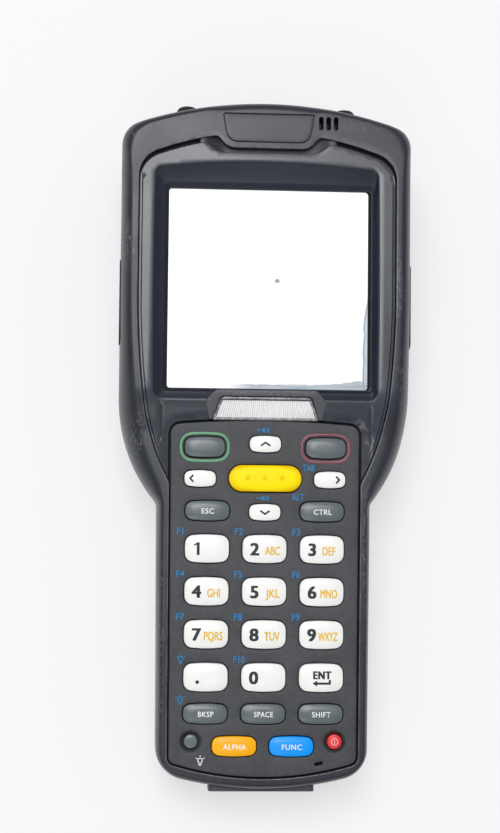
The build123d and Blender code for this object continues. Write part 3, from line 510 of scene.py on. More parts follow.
opening = mirrored(np.concatenate([
    resampled(top_in, counts["top"], False), resampled(corner_in, counts["corner"], False),
    between_heights(side_in, side_in[0, 1], side_out[-1, 1], counts["side"]),
    between_heights(side_in, side_out[-1, 1], waist_out[-1, 1], counts["waist"]),
    between_heights(side_in, waist_out[-1, 1], side_in[-1, 1], counts["grip"]),
    resampled(heel_in, counts["heel"], False), resampled(foot_in, counts["foot"] + 1)]))
top_x = share(resampled(top_in, counts["top"], False)[:, 0], 0, top_in[-1, 0]) * arch_out[-1, 0]
top_x = np.maximum.accumulate(top_x + np.arange(counts["top"]) * 1e-4)
outer = mirrored(np.concatenate(
    [pairs(top_x, on_arch(head_top_y, head_arch_radius, top_x))]
    + [resampled(run, counts[name], False) for run, name in
       ((corner_out, "corner"), (side_out, "side"), (waist_out, "waist"), (grip_out, "grip"), (heel_out, "heel"))]
    + [resampled(foot_out, counts["foot"] + 1)]))
print("points round the frame:", opening.shape, outer.shape)

# %% Height of the front, and how the roll changes along the frame
grip_front_z, head_front_z, ramp_low_y, ramp_high_y = 0.7, 3.2, 2.5, 15.5
upper_knot_y, lower_knot_y, soft_steps = 34, 8, 9


def front_z(y):
    """Height of the front: low rails beside the keypad, a smooth ramp, and the higher head."""
    t = share(np.asarray(y, float), ramp_low_y, ramp_high_y)
    return grip_front_z + (head_front_z - grip_front_z) * t * t * (3 - 2 * t)


def along_frame(values):
    """A quantity round the frame, from its values at the ends of the runs and at two heights of the side."""
    ends = np.cumsum([0, *counts.values()])
    side_y = outer[ends[2]:ends[3], 1]
    knots = [0, *ends[1:3], *(ends[2] + int(np.argmin(abs(side_y - y))) for y in (upper_knot_y, lower_knot_y)),
             *ends[3:]]
    half = np.interp(np.arange(ends[7] + 1), knots, values)
    soft = np.convolve(np.pad(half, soft_steps, mode="edge"), np.ones(2 * soft_steps + 1) / (2 * soft_steps + 1),
                       mode="valid")
    return np.concatenate([soft, soft[1:-1][::-1]])


crest_share = along_frame([0.81, 0.77, 0.32, 0.28, 0.20, 0.34, 0.40, 0.44, 0.42, 0.42])
roll_depth = along_frame([3.4, 3.6, 8.5, 9.0, 13.0, 10.0, 7.5, 6.5, 4.0, 3.4])
crest = opening + (outer - opening) * crest_share[:, None]
print("crest at the side, mm from the middle:", crest[:, 0].max().round(2))

# %% The frame as rings from the seam over the crest to the parting line
seam_foot_z, flank_z, inner_z, inner_foot_z, wall_thickness, lip = -3.3, -11.5, -9.0, -3.6, 2.2, 0.22


def frame_rings():
    """Wall in the seam, rounded lip, flat band, quarter-ellipse roll, side wall, and a plain inside wall."""
    rings = [at(opening, seam_foot_z)]
    for a in np.linspace(0, quarter, 5):
        plan = grown(opening, lip * (1 - math.cos(a)))
        rings.append(at(plan, front_z(plan[:, 1]) - lip * (1 - math.sin(a))))
    start = grown(opening, lip)
    for s in (0.25, 0.5, 0.75, 1.0):
        plan = start + (crest - start) * s
        rings.append(at(plan, front_z(plan[:, 1])))
    for a in np.linspace(0, quarter, 15)[1:]:
        rings.append(at(crest + (outer - crest) * math.sin(a),
                        front_z(crest[:, 1]) - roll_depth * (1 - math.cos(a))))
    inner_wall = grown(outer, -wall_thickness)
    rings += [at(outer, flank_z), at(outer, parting_z + 0.15), at(grown(outer, -0.12), parting_z),
              at(inner_wall, parting_z), at(inner_wall, inner_z),
              at(opening + (inner_wall - opening) * 0.35, inner_foot_z)]
    return laid(rings)


frame_points = frame_rings()
lip_wear_and_highlight = np.zeros(frame_points.shape[:2])
# wear and painted highlight: a pale line along the rounded lip at the seam
lip_wear_and_highlight[3:6] = [[0.5], [1.0], [0.35]]  # the rounded lip at the seam
frame_shell = loft("housing_front_frame", frame_points, housing_plastic, "front_housing", closed=True, stands=True,
                   worn=lip_wear_and_highlight)
print("frame:", len(frame_shell.data.polygons), "faces")

# %% [markdown]
# ## Sheets with holes
#
# The display bezel and the keypad's faceplate are flat mouldings with rounded edges and, in the faceplate, a hole
# for every key. A grid of two parameters doesn't fit such an outline. So the flat part is a triangulation between
# the outlines, lifted to a height that is a function of x and y, and each edge is a small set of rings: a quarter
# circle from the flat down to the wall.

# %% Flat sheet between outlines
def inside(points, outline):
    """Whether each point lies in a closed outline: an odd number of its edges lies to the right of the point."""
    x, y = points[:, :1], points[:, 1:2]
    (ax, ay), (bx, by) = outline.T[:, None], np.roll(outline, -1, axis=0).T[:, None]
    crosses = (ay > y) != (by > y)
    rise = np.where(by == ay, 1e-12, by - ay)
    return (crosses & (x < ax + (y - ay) / rise * (bx - ax))).sum(axis=1) % 2 == 1


def clearance(points, outline):
    """Distance from each point to the nearest corner of an outline."""
    gap = points[:, None, :] - outline[None, :, :]
    return np.sqrt((gap**2).sum(axis=-1).min(axis=1))


def sheet_with_holes(outer_line, height, spacing, edge, wall, holes=(), lines=(), hole_edge=None):
    """Points and faces of a sheet: triangles between the outlines, and rings round each of its edges.

    spacing is that of the inner points, edge the radius of the rounded edges, wall the height of their foot.
    """
    hole_edge = edge if hole_edge is None else hole_edge
    borders = [grown(outer_line, -edge)] + [grown(hole, hole_edge) for hole in holes]
    low, high = outer_line.min(axis=0), outer_line.max(axis=0)
    gx, gy = np.meshgrid(np.arange(low[0], high[0], spacing), np.arange(low[1], high[1], spacing))
    grid = pairs(gx.ravel(), gy.ravel())

    def between_borders(points):
        """Inside the first border and outside all the others."""
        kept = inside(points, borders[0])
        for hole in borders[1:]:
            kept &= ~inside(points, hole)
        return kept

    grid = grid[between_borders(grid)]
    chains = borders + list(lines)
    for i, chain in enumerate(chains):
        grid = grid[clearance(grid, chain) > (0.45 if i < len(borders) else 0.35) * spacing]
    edges, start = [], 0
    for i, chain in enumerate(chains):
        step = np.arange(len(chain))
        sides = pairs(step, (step + 1) % len(chain)) + start
        edges.append(sides if i < len(borders) else sides[:-1])
        start += len(chain)
    flat, _, triangles, *_ = delaunay_2d_cdt([Vector(p) for p in np.concatenate(chains + [grid]).tolist()],
                                             np.concatenate(edges).tolist(), [], 0, 1e-5)
    flat, triangles = np.array([tuple(v) for v in flat]), np.array([t for t in triangles if len(t) == 3])
    triangles = triangles[between_borders(flat[triangles].mean(axis=1))]
    a, b, c = flat[triangles.T]
    turned = (b - a)[:, 0] * (c - a)[:, 1] - (b - a)[:, 1] * (c - a)[:, 0] < 0
    triangles[turned] = triangles[turned][:, ::-1]
    parts, faces, total = [at(flat, height(*flat.T))], [triangles], len(flat)
    for i, line in enumerate([outer_line, *holes]):
        radius, way = (edge, -1) if i == 0 else (hole_edge, 1)
        base = height(*grown(line, way * radius).T)
        rings = [at(grown(line, way * radius * (1 - math.sin(a))), base - radius * (1 - math.cos(a)))
                 for a in np.linspace(0, quarter, 4)]
        rings.append(at(line, np.minimum(wall, rings[-1][:, 2] - 0.01)))
        parts += rings if i == 0 else rings[::-1]
        faces.append(ring_faces(len(rings), len(line), start=total))
        total += len(rings) * len(line)
    return np.concatenate(parts), faces


def sheet_piece(name, sheet, finish, slot, **more):
    """Piece from a sheet; points that lie on one another are joined, so that its faces shade as one surface."""
    piece = piece_from(name, lay(*sheet[0].T), sheet[1], finish, slot, **more)
    work = bmesh.new()
    work.from_mesh(piece.data)
    bmesh.ops.remove_doubles(work, verts=work.verts, dist=1e-6)
    work.to_mesh(piece.data)
    work.free()
    return piece


print("sheet helper ready")

# %% [markdown]
# ## The display bezel
#
# Inside the frame lies a separate bezel, half a millimetre lower. It runs round the display, down both sides of the
# keypad to two thin tips, and leaves a scooped hollow under the pod of the cap. Its front is one sheet whose height
# follows the same ramp as the frame. Near the keypad it is cut back to a broad chamfer, which is a height that
# depends on the distance to the keypad's well.

# %% Outline and height of the bezel's front
bezel_drop, seam_gap, cap_gap, chamfer_depth = 0.5, 0.22, 1.2, 0.9
scoop_half_width, scoop_low_y, scoop_corner = 16.2, 81.7, 5.0
bar_half_top, bar_half_low, bar_low_y, bar_high_y, bar_corner = 12.5, 14.9, 6.7, 13.1, 1.5
groove_inset, groove_half_width, groove_depth = 1.0, 0.16, 0.3  # second line, inside the seam
crease_x, crease_half_width, crease_depth = 29.3, 0.3, 0.22  # beside the keypad, in line with the recess
tip_y = -9.6


def well_distance(x, y):
    """Distance outside the keypad's well, a rectangle with rounded upper corners; negative inside."""
    qx = np.abs(x) - (well_half_width - well_top_corner)
    qy = y - (well_top_y - x**2 / well_top_bow - well_top_corner)
    return np.hypot(np.maximum(qx, 0), np.maximum(qy, 0)) + np.minimum(np.maximum(qx, qy), 0) - well_top_corner


def bezel_z(x, y):
    """The frame's ramp lowered by the drop, less a chamfer towards the keypad's well and a groove along the seam."""
    fall = np.clip(1 - (well_distance(x, y) - seam_gap) / (1.5 + share(y, well_top_y - 2, well_top_y - 6)), 0, 1)
    groove = np.clip(1 - np.abs(seam_x(y) - np.abs(x) - groove_inset) / groove_half_width, 0, 1)
    crease = np.clip(1 - np.abs(np.abs(x) - crease_x) / crease_half_width, 0, 1)
    return (front_z(y) - bezel_drop - chamfer_depth * fall - crease_depth * crease * share(y, 12, 10) * share(y, -1, 2)
            - groove_depth * groove * share(y, 76, 73) * share(y, -4, 2))


def bezel_outline(gap=seam_gap, arch_gap=cap_gap, scooped=True):
    """Half from the scoop's foot over arch, side and tip, and back along the well to the middle line, mirrored."""
    arch_y, side_top, scoop_top_x = field_top_y - arch_gap, field_half_width - gap, scoop_half_width + 1.6
    y_side = np.linspace(on_arch(arch_y, field_arch_radius, side_top), tip_y, 260)
    well_x = well_half_width + seam_gap
    side = pairs(np.maximum(seam_x(y_side) - gap, well_x + 0.12), y_side)
    over_x = np.linspace(well_x, bar_half_low + 0.15, 60)
    well_over = pairs(over_x, well_top_y + seam_gap - over_x**2 / well_top_bow)
    bar_top = (bar_half_top + 0.25, bar_high_y + 0.15)
    sides = [side, straight_run((well_x, tip_y), (well_x, well_top_y - well_half_width**2 / well_top_bow + seam_gap)),
             well_over, straight_run(well_over[-1], bar_top), straight_run(bar_top, (0, bar_top[1]))]
    radii = [field_corner, 0, well_top_corner + seam_gap, 0.2, bar_corner]
    if scooped:
        foot = (scoop_half_width - 2.4, scoop_low_y)
        scoop_end = (scoop_top_x, on_arch(arch_y, field_arch_radius, scoop_top_x))
        sides = [straight_run((0, scoop_low_y), foot), straight_run(foot, scoop_end),
                 arch_run(arch_y, field_arch_radius, scoop_top_x, side_top)] + sides
        radii = [scoop_corner, 1.9] + radii
    else:
        sides = [arch_run(arch_y, field_arch_radius, 0, side_top)] + sides
    half = chained(rounded_runs(sides, radii))
    return mirrored(resampled(half[np.r_[True, np.hypot(*np.diff(half, axis=0).T) > 1e-3]], 420))


bezel_line = bezel_outline()
print("bezel outline:", bezel_line.shape, "points")

# %% Recess round the window: outline, slope and ledge
recess_half_width, recess_top_y, recess_low_y, recess_corner, recess_arch_radius, recess_bow = (
    31.25, 79.1, 12.6, 2.2, 260.0, 0.3)
window_half_width, window_low_y, window_high_y, window_corner, lip_z = 28.5, 15.5, 71.6, 0.8, 0.9
recess_shift, window_shift = -0.25, 0.8  # the recess sits off the middle to the left, the lit area to the right


def window_ring(half_width, low_y, high_y, corner, arch=0.0, bow=0.0, count=(40, 10, 60, 10, 40)):
    """Closed four-sided outline with an arched top and bowed sides, with a fixed number of points on each run."""
    corner_y = on_arch(high_y, arch, half_width) if arch else high_y
    y = np.linspace(corner_y, low_y, 60)
    side = pairs(half_width + bow * (1 - ((y - low_y) / (corner_y - low_y) * 2 - 1) ** 2), y)
    top = arch_run(high_y, arch, 0, half_width) if arch else straight_run((0, high_y), (half_width, high_y))
    runs = rounded_runs([top, side, straight_run((half_width, low_y), (0, low_y))], [corner, corner])
    return mirrored(np.concatenate([resampled(run, n, run is runs[-1]) for run, n in zip(runs, count)]))


recess_line = window_ring(recess_half_width, recess_low_y, recess_top_y, recess_corner, recess_arch_radius,
                          recess_bow) + [recess_shift, 0]
ledge_line = window_ring(window_half_width + 0.9, window_low_y - 0.9, window_high_y + 1.3, 1.2) + [window_shift, 0]
window_line = window_ring(window_half_width, window_low_y, window_high_y, window_corner) + [window_shift, 0]


def crease_lines(x, y, half_width):
    """A fold's foot and both its edges, on both sides of the face."""
    return [pairs(hand * (x + shift), y) for hand in (-1, 1) for shift in (-half_width, 0, half_width)]


groove_y, crease_y = np.linspace(78, -5, 90), np.linspace(12, 1, 14)
bezel_lines = (crease_lines(seam_x(groove_y) - groove_inset, groove_y, groove_half_width)
               + crease_lines(np.full(len(crease_y), crease_x), crease_y, crease_half_width))
bezel_sheet = sheet_with_holes(bezel_line, bezel_z, spacing=1.3, edge=0.2, wall=-1.0, holes=[recess_line],
                               lines=bezel_lines, hole_edge=0.45)
# wear and painted highlight: a pale line along the bezel's outer edge and the recess's edge
near_edge = np.minimum(*(clearance(bezel_sheet[0][:, :2], line) for line in (recess_line, bezel_line)))
bezel_front = sheet_piece("bezel_front", bezel_sheet, bezel_plastic, "display_bezel", stands=True, sharp=40,
                          worn=0.1 * np.clip(1 - near_edge / 0.3, 0, 1))


def recess_rings():
    """The window's wall and ledge, then a slope up to the bezel's edge, curved like a shallow bowl."""
    start_z, foot_z = bezel_z(*recess_line.T) - 0.45, lip_z + 0.4
    rings = [at(window_line, 0.02), at(window_line, lip_z - 0.1), at(ledge_line * 0.6 + window_line * 0.4, lip_z)]
    return laid(rings + [at(recess_line + (ledge_line - recess_line) * s,
                            start_z + (foot_z - start_z) * (1 - (1 - s) ** 1.25)) for s in np.linspace(1, 0, 9)])


def shade_floor_height(x, y):
    """Height of a dark floor of painted shade under the bezel: flat under the display's field, and lower where the
    bezel itself comes down beside the keypad.
    """
    return np.minimum(0.35, front_z(y) - bezel_drop - 1.5)


# the recess's own dark bluish plastic, made darker still as painted shade in the hollow round the window
recess = loft("bezel_recess", recess_rings(), plastic("recess_plastic_painted_shade", tone(22, 26, 41), 0.38, 0.00001, 3000.0, 0.08,
                                                      0.3), "display_bezel", sharp=50)
# painted shade: a near-black floor under the bezel, which shows dark through the seam and the gap under the cap
shade_floor_sheet = sheet_with_holes(bezel_outline(-1.0, -1.0, False), shade_floor_height, spacing=2.0, edge=0.1, wall=-1.8,
                                holes=[grown(recess_line, 0.6)])
sheet_piece("bezel_painted_shade_floor", shade_floor_sheet, plastic("floor_painted_shade", tone(20, 21, 25), 0.6), "display_bezel", sharp=40)
print("bezel:", len(bezel_front.data.polygons), "faces in front,", len(recess.data.polygons), "in the recess")

# %% Hollow under the pod of the cap
scoop_line = mirrored(resampled(np.array([(0, 88.6), (19.2, 86.5), (19.2, 80.9), (0, 80.9)]), 60))
scoop_floor_z, scoop_edge_z = 0.75, head_front_z - bezel_drop - 0.34


def scoop_z(x, y):
    """Bottom of the hollow: level in the middle, and rising as a concave slope to the bezel at both ends."""
    return scoop_floor_z + (scoop_edge_z - scoop_floor_z) * share(np.abs(x), 12.2, 17.4) ** 1.6


sheet_piece("bezel_scoop", sheet_with_holes(scoop_line, scoop_z, spacing=0.9, edge=0.1, wall=0.3),
            plastic("scoop_plastic", tone(44, 46, 54), 0.42, 0.00001, 3000.0, 0.1), "display_bezel", sharp=45)
print("hollow under the pod made")

# %% [markdown]
# ## Light bar
#
# Between the display and the keypad sits the light bar of the scanner: a clear lens with fine vertical ribs that
# spread the light, in a raised hood. The ribs are geometry: the lens is a grid in which one parameter runs across
# and the height is the size of a sine of it. Because the bar widens towards the keypad, the ribs fan out with it.

# %% Hood of the light bar
def bar_line(half_top, half_low, low_y, high_y, corner):
    """Closed outline of a bar with slanting ends, rounded at its upper corners."""
    return cornered([(0, high_y), (half_top, high_y), (half_low, low_y), (0, low_y)], [corner, 0.3], 80)


hood_low_y = well_top_y + seam_gap - 15.5**2 / well_top_bow
hood_line = cornered([(0, 15.0), (14.0, 15.0), (17.0, 11.9), (15.9, hood_low_y), (14.85, hood_low_y), (12.75, 13.3),
                      (0, 13.3)], [1.4, 2.2, 0.2, 0.2, 1.4], 240)  # an upside-down U


def hood_z(x, y):
    """Just over the bezel's ramp, highest beside the display."""
    return front_z(y) - bezel_drop + 0.15 + 0.25 * share(y, 8, 14)


hood_plastic = scuffed(plastic("hood_plastic", tone(74, 76, 81), 0.42, 0.00001, 3000.0),
                       [(0.0, 14.2, 16.0, 1.6, 0.75), (-15.5, 12.0, 2.0, 3.0, 0.5)], tone(140, 142, 146),
                       (0.9, 0.9, 1.0))
hood = sheet_piece("light_bar_hood", sheet_with_holes(hood_line, hood_z, spacing=0.7, edge=0.28, wall=0.4),
                   hood_plastic, "display_bezel", sharp=45)
print("hood:", len(hood.data.polygons), "faces")

# %% Ribbed lens
rib_count, rib_height, lens_border = 46, 0.16, 0.75


def lens_surface(across=736, up=14):
    """Grid over the bar: x follows the slanting ends, height is the ramp plus a rib's rounded ridge."""
    u, v = np.meshgrid(np.linspace(-1, 1, across), np.linspace(0, 1, up))
    y = bar_low_y + lens_border + v * (bar_high_y - bar_low_y - 2 * lens_border)
    half = bar_half_low - lens_border + (y - bar_low_y) / (bar_high_y - bar_low_y) * (bar_half_top - bar_half_low)
    uneven = 0.75 + 0.25 * np.sin(u * 37.0 + 2 * np.sin(u * 11.0))
    ridge = np.abs(np.sin(u * rib_count * quarter + 0.25 * np.sin(v * 9 + u * 50))) ** 0.8
    fade = np.clip(np.minimum(v, 1 - v) * 8, 0, 1) * np.clip((1 - np.abs(u)) * 60, 0, 1)
    return lay(u * half, y, front_z(y) - bezel_drop - 0.32 + rib_height * ridge * uneven * fade)


lens_clear = Finish("lens_clear", Roughness=0.22, Specular_IOR_Level=0.6, Coat_Weight=0.3, Coat_Roughness=0.15)
x, y, z = lens_clear.parts(lens_clear.face_place())
glint = lens_clear.noise(1.0, 3.0, 0.6, (3.2, 0.35, 1.0), face=True)
rib_lines_and_highlight = (0.5 + 0.5 * (x / (1.0 + 0.02 * (9.0 - y)) * 11.0 + 3.0 * glint).wave()).between(0.15, 0.75)
# painted highlight: pale stripes along the ribs and glints, painted into the lens's colour; the stripes also bend its
# normals
lens_clear.set(Base_Color=lens_clear.blend((0.3 + 0.5 * rib_lines_and_highlight + 0.6 * (glint - 0.35)).clipped(), tone(184, 186, 188),
                                           tone(252, 252, 252)), Normal=lens_clear.bump(rib_lines_and_highlight, 0.00006))
lens_points = lens_surface()
index = np.arange(lens_points.size // 3).reshape(lens_points.shape[:2])
lens_faces = np.stack([index[:-1, :-1], index[:-1, 1:], index[1:, 1:], index[1:, :-1]], axis=-1).reshape(-1, 4)
piece_from("light_bar_ribs", lens_points, [lens_faces], lens_clear, "light_bar_lens")

border_line = bar_line(bar_half_top, bar_half_low, bar_low_y, bar_high_y, bar_corner)
field_line = bar_line(bar_half_top - lens_border + 0.1, bar_half_low - lens_border - 0.1, bar_low_y + lens_border,
                      bar_high_y - lens_border, 0.9)  # edge of the ribbed field
border_rings = []  # a rounded strip between the ribbed field and the bar's outline, and a wall down to its seat
for a in np.linspace(0, math.pi, 9):
    plan = field_line + (border_line - field_line) * (1 - math.cos(a)) / 2
    border_rings.append(at(plan, front_z(plan[:, 1]) - bezel_drop - 0.42 + 0.28 * math.sin(a)))
border_grey = Finish("lens_border", Specular_IOR_Level=0.55, Coat_Weight=0.2)
grit = border_grey.noise(900.0, 4.0, 0.7)
border_grey.set(Base_Color=border_grey.blend(grit.between(0.35, 0.7), tone(105, 107, 110), tone(175, 177, 180)),
                Roughness=0.3 + 0.2 * grit, Normal=border_grey.bump(grit, 0.00002))
loft("light_bar_border", laid(border_rings + [at(border_line, -0.6)]), border_grey, "light_bar_lens", stands=True)
print("lens:", len(lens_faces), "faces in", rib_count, "ribs")

# %% [markdown]
# ## Keys
#
# The keys are moulded in hard plastic and bow out a little on all four sides. Their tops are shallow domes, flat in
# the middle and falling away near the edge, so each one catches the light along one side. One function makes them
# all: the sheet helper takes the outline, and the dome's height falls with the fourth power of a rounded distance
# from the key's middle.

# %% Key outlines and domes
key_side_bulge, key_bulge, key_corner_radius = 0.25, 0.45, 2.4
dimple_places, dimple_depth = (-4.8, 0.0, 4.8), 0.13


def key_line(kind, size, grow=0.0, count=72):
    """Closed outline of a key, centred on the origin: round, a slot, or four bowed sides with rounded corners."""
    if kind == "round":
        angle = np.linspace(0, 2 * math.pi, count, endpoint=False)
        return (size[0] / 2 + grow) * pairs(np.sin(angle), np.cos(angle))
    if kind == "slot":
        r, straight = size[1] / 2 + grow, (size[0] - size[1]) / 2
        angle = np.linspace(0, math.pi, 40)
        half = np.concatenate([straight_run((0, r), (straight, r), 20)[:-1],
                               pairs(straight + r * np.sin(angle), r * np.cos(angle)),
                               straight_run((straight, -r), (0, -r), 20)[1:]])
        return mirrored(resampled(half, count))
    half_x, half_y = size[0] / 2 - key_side_bulge + grow, size[1] / 2 - key_bulge + grow
    corner = min(key_corner_radius, 0.92 * (half_y - grow)) + grow
    x, y = np.linspace(0, half_x, 40), np.linspace(half_y, -half_y, 40)
    top = pairs(x, half_y + key_bulge * (1 - (x / half_x) ** 2))
    side = pairs(half_x + key_side_bulge * (1 - (y / half_y) ** 2), y)
    return mirrored(resampled(chained(rounded_runs([top, side, top[::-1] * [1, -1]], [corner, corner])),
                              count // 2 + 1))


def key_dome(size, top_z, fall, dimples):
    """Height over a key: flat in the middle, falling with the fourth power of a rounded distance, less dimples."""
    def height(x, y):
        away = (np.abs(2 * x / size[0]) ** 2.6 + np.abs(2 * y / size[1]) ** 2.6) ** (1 / 2.6)
        z = top_z - fall * np.minimum(away, 1.1) ** 4
        for place in dimples:
            z = z - dimple_depth * np.exp(-(((x - place) ** 2 + y**2) / 0.62) ** 1.5)
        return z
    return height


key_shapes = {  # kind, size, height of the top, fall of the dome
    "call": ("bowed", (11.2, 5.7), 1.5, 0.55), "arrow": ("bowed", (8.7, 4.6), 1.1, 0.42),
    "scan": ("slot", (20.2, 7.3), 1.9, 0.65), "word": ("bowed", (12.2, 5.5), 1.1, 0.55),
    "number": ("bowed", (12.2, 7.8), 1.5, 0.55), "lamp": ("round", (3.8, 3.8), 0.6, 0.25),
    "power": ("round", (4.0, 4.0), 0.6, 0.25)}
keys = [  # name, shape, place, colour
    ("green", "call", -16.9, -0.9, "slate"), ("red", "call", 16.9, -0.9, "slate"),
    ("up", "arrow", 0.0, 0.1, "white"), ("left", "arrow", -18.1, -9.7, "white"),
    ("scan", "scan", 0.0, -9.5, "yellow"), ("right", "arrow", 18.1, -9.7, "white"),
    ("down", "arrow", 0.0, -18.9, "white"), ("escape", "word", -16.0, -18.6, "slate"),
    ("control", "word", 16.0, -18.6, "slate"), ("backspace", "word", -16.0, -74.5, "slate"),
    ("space", "word", 0.0, -74.5, "slate"), ("shift", "word", 16.0, -74.5, "slate"),
    ("alpha", "word", -7.9, -83.4, "amber"), ("function", "word", 7.9, -83.4, "blue"),
    ("lamp", "lamp", -19.9, -82.1, "slate"), ("power", "power", 19.9, -82.1, "red")]
column_pitch, row_pitch, first_row_y = 16.0, 11.8, -29.1
keys += [(name, "number", column_pitch * (i % 3 - 1), first_row_y - row_pitch * (i // 3), "white")
         for i, name in enumerate([*"123456789", "period", "0", "enter"])]
print(len(keys), "keys")

# %% Key plastics
def key_plastic(name, colour, roughness=0.34, coat=0.12, mottle=0.04, soil=0.0, specular=0.5):
    """Hard key plastic: even colour, a slight mottle, soil in patches and a fine matt grain."""
    finish = Finish(name, Specular_IOR_Level=specular, Coat_Weight=coat, Coat_Roughness=0.2)
    broad = finish.noise(240.0, 3.0, 0.6)
    dirt = finish.noise(900.0, 5.0, 0.75).between(0.56, 0.72) * soil
    base = finish.blend(broad.between(0.3, 0.7), scaled(colour, 1 - 2 * mottle), colour)
    finish.colour = finish.blend(dirt, base, scaled(colour, 0.45))
    return finish.set(Base_Color=finish.colour, Roughness=roughness + 0.12 * (broad - 0.5) + 0.1 * dirt,
                      Normal=finish.bump(finish.noise(3400.0, 2.0, 0.6), 0.000006))


key_finishes = {
    "white": key_plastic("key_white", tone(243, 243, 241), 0.36, 0.1, 0.02, 0.10),
    "slate": key_plastic("key_slate", tone(92, 101, 106), 0.33, 0.15, 0.06),
    "yellow": key_plastic("key_yellow", tone(255, 233, 0), 0.44, 0.0, 0.03, 0.12, 0.15),
    "amber": key_plastic("key_amber", tone(255, 180, 0), 0.36, 0.05, 0.03, specular=0.3),
    "blue": key_plastic("key_blue", tone(0, 156, 255), 0.36, 0.05, 0.03, specular=0.3),
    "red": key_plastic("key_red_plastic", tone(226, 48, 52), 0.36, 0.08, 0.04, specular=0.4),
}

# %% Painted shade: deeper yellow at the scan key's rim and round its three dimples
yellow = key_finishes["yellow"]
x, y, z = yellow.parts(yellow.face_place())
dimple_painted_shade = None
for place in dimple_places:
    away = ((x - place) ** 2.0 + (y + 9.5) ** 2.0).root()
    ring = away.between(0.75, 0.5) * (0.35 + 0.65 * away.between(0.1, 0.4))
    dimple_painted_shade = ring if dimple_painted_shade is None else dimple_painted_shade.most(ring)
# painted shade: the dome's lower rim and a ring round each dimple are painted deeper yellow, where shade falls
rim = (1.8 - z).between(0.08, 0.75)
yellow.set(Base_Color=yellow.blend((rim * 0.8).most(dimple_painted_shade * 0.7), yellow.colour, tone(232, 178, 0)))

# %% Every key
key_surfaces = {"face": (0, 0, lambda x, y: 0 * x)}  # the faceplate is flat
for name, shape, x, y, colour in keys:
    title, (kind, size, top_z, fall) = "key_" + name, key_shapes[shape]
    dome = key_dome(size, top_z, fall, dimple_places if kind == "slot" else ())
    key_surfaces[title] = (x, y, dome)
    line = key_line(kind, size)
    points, faces = sheet_with_holes(line, dome, spacing=0.28 if kind == "slot" else 0.55, edge=0.22, wall=-1.8)
    foot = list(range(len(points) - 1, len(points) - 1 - len(line), -1))
    sheet_piece("cap_" + title, (points + [x, y, 0], faces + [[foot]]), key_finishes[colour], title, body=title,
                stands=True, sharp=50)
print("key caps made:", len(key_surfaces) - 1)

# %% [markdown]
# ## Printed legends
#
# The legends are printed: digits and letters on the keys, small blue words and signs on the faceplate. A Blender
# text object gives the glyphs, and as soon as it is a mesh its points can be pressed onto the key's dome, a few
# hundredths of a millimetre above it. The signs, such as arrows and lamps, are ribbons: a line of points given a
# width along its normals.

# %% Marks as flat arrays
def patch(points):
    """One flat face through the given points."""
    return np.asarray(points, float), [list(range(len(points)))]


def joined(*marks):
    """Several marks as one, each a few micrometres over the last, because faces in one plane would shade each other."""
    all_points, all_faces, start = [], [], 0
    for layer, (points, faces) in enumerate(marks):
        depth = points[:, 2] if points.shape[1] == 3 else 0
        all_points.append(at(points[:, :2], depth + 0.004 * layer))
        all_faces += [[i + start for i in face] for face in faces]
        start += len(points)
    return np.concatenate(all_points), all_faces


def word(text, height, wide, bold, align="CENTER", space=1.0):
    """A word with capitals of the given height, laid over itself in small steps to both sides to thicken it."""
    curve = bpy.data.curves.new("words", "FONT")
    curve.body, curve.align_x, curve.resolution_u, curve.space_character = text, align, 4, space
    holder = bpy.data.objects.new("words", curve)
    mesh = bpy.data.meshes.new_from_object(holder)
    points = np.empty(len(mesh.vertices) * 3)
    mesh.vertices.foreach_get("co", points)
    faces = [list(polygon.vertices) for polygon in mesh.polygons]
    bpy.data.objects.remove(holder)
    bpy.data.curves.remove(curve)
    bpy.data.meshes.remove(mesh)
    capital = 0.692
    points = (points.reshape(-1, 3)[:, :2] + [0, -capital / 2]) * [wide * height / capital, height / capital]
    steps = ((0, 0), (1, 0), (-1, 0), (1, 0.5), (-1, 0.5), (1, -0.5), (-1, -0.5))
    return joined(*((points + bold * np.array(step), faces) for step in steps))


def ribbon(path, width, steps_each=6):
    """Strip of the given width along an open line, with mitred corners and short steps that can follow a dome."""
    path = np.asarray(path, float)
    cuts = np.linspace(0, 1, steps_each + 1)[:-1, None]
    path = np.concatenate([start + (end - start) * cuts for start, end in zip(path[:-1], path[1:])] + [path[-1:]])
    step = unit(np.diff(path, axis=0))
    after = np.vstack([step, step[-1:]])
    tangent = unit(np.vstack([step[:1], step]) + after)
    sides = width / 2 * leftward(tangent) / np.maximum((tangent * after).sum(axis=1), 0.35)[:, None]
    count, first = len(path), np.arange(len(path) - 1)
    faces = np.stack([first + count, first + count + 1, first + 1, first], axis=-1)
    return np.concatenate([path + sides, path - sides]), faces.tolist()


def ring_path(radius, start, end, count=24):
    """Points along part of a circle, angles in degrees from the x axis."""
    angle = np.radians(np.linspace(start, end, count))
    return radius * pairs(np.cos(angle), np.sin(angle))


def facing_up(points, faces):
    """The faces, turned round where they would look down."""
    turned = []
    for face in faces:
        x, y = points[face].T
        area = np.sum(x * np.roll(y, -1) - np.roll(x, -1) * y)
        turned.append(face if area > 0 else face[::-1])
    return turned


def ink(name, colour):
    """Printing ink with worn pinholes that let its base darken."""
    finish = Finish("ink_" + name, Specular_IOR_Level=0.35)
    worn = finish.noise(5200.0, 3.0, 0.7).between(0.62, 0.78)
    return finish.set(Base_Color=finish.blend(0.35 * worn, colour, scaled(colour, 0.6, 0.02)),
                      Roughness=0.5 + 0.15 * worn)


inks = {name: ink(name, tone(*screen)) for name, screen in (
    ("dark", (40, 42, 48)), ("orange", (232, 186, 14)), ("blue", (8, 122, 182)), ("white", (232, 236, 236)),
    ("pale", (250, 244, 232)), ("rose", (246, 178, 174)))}
lifted = 0.035  # millimetres of clearance of the print over the surface


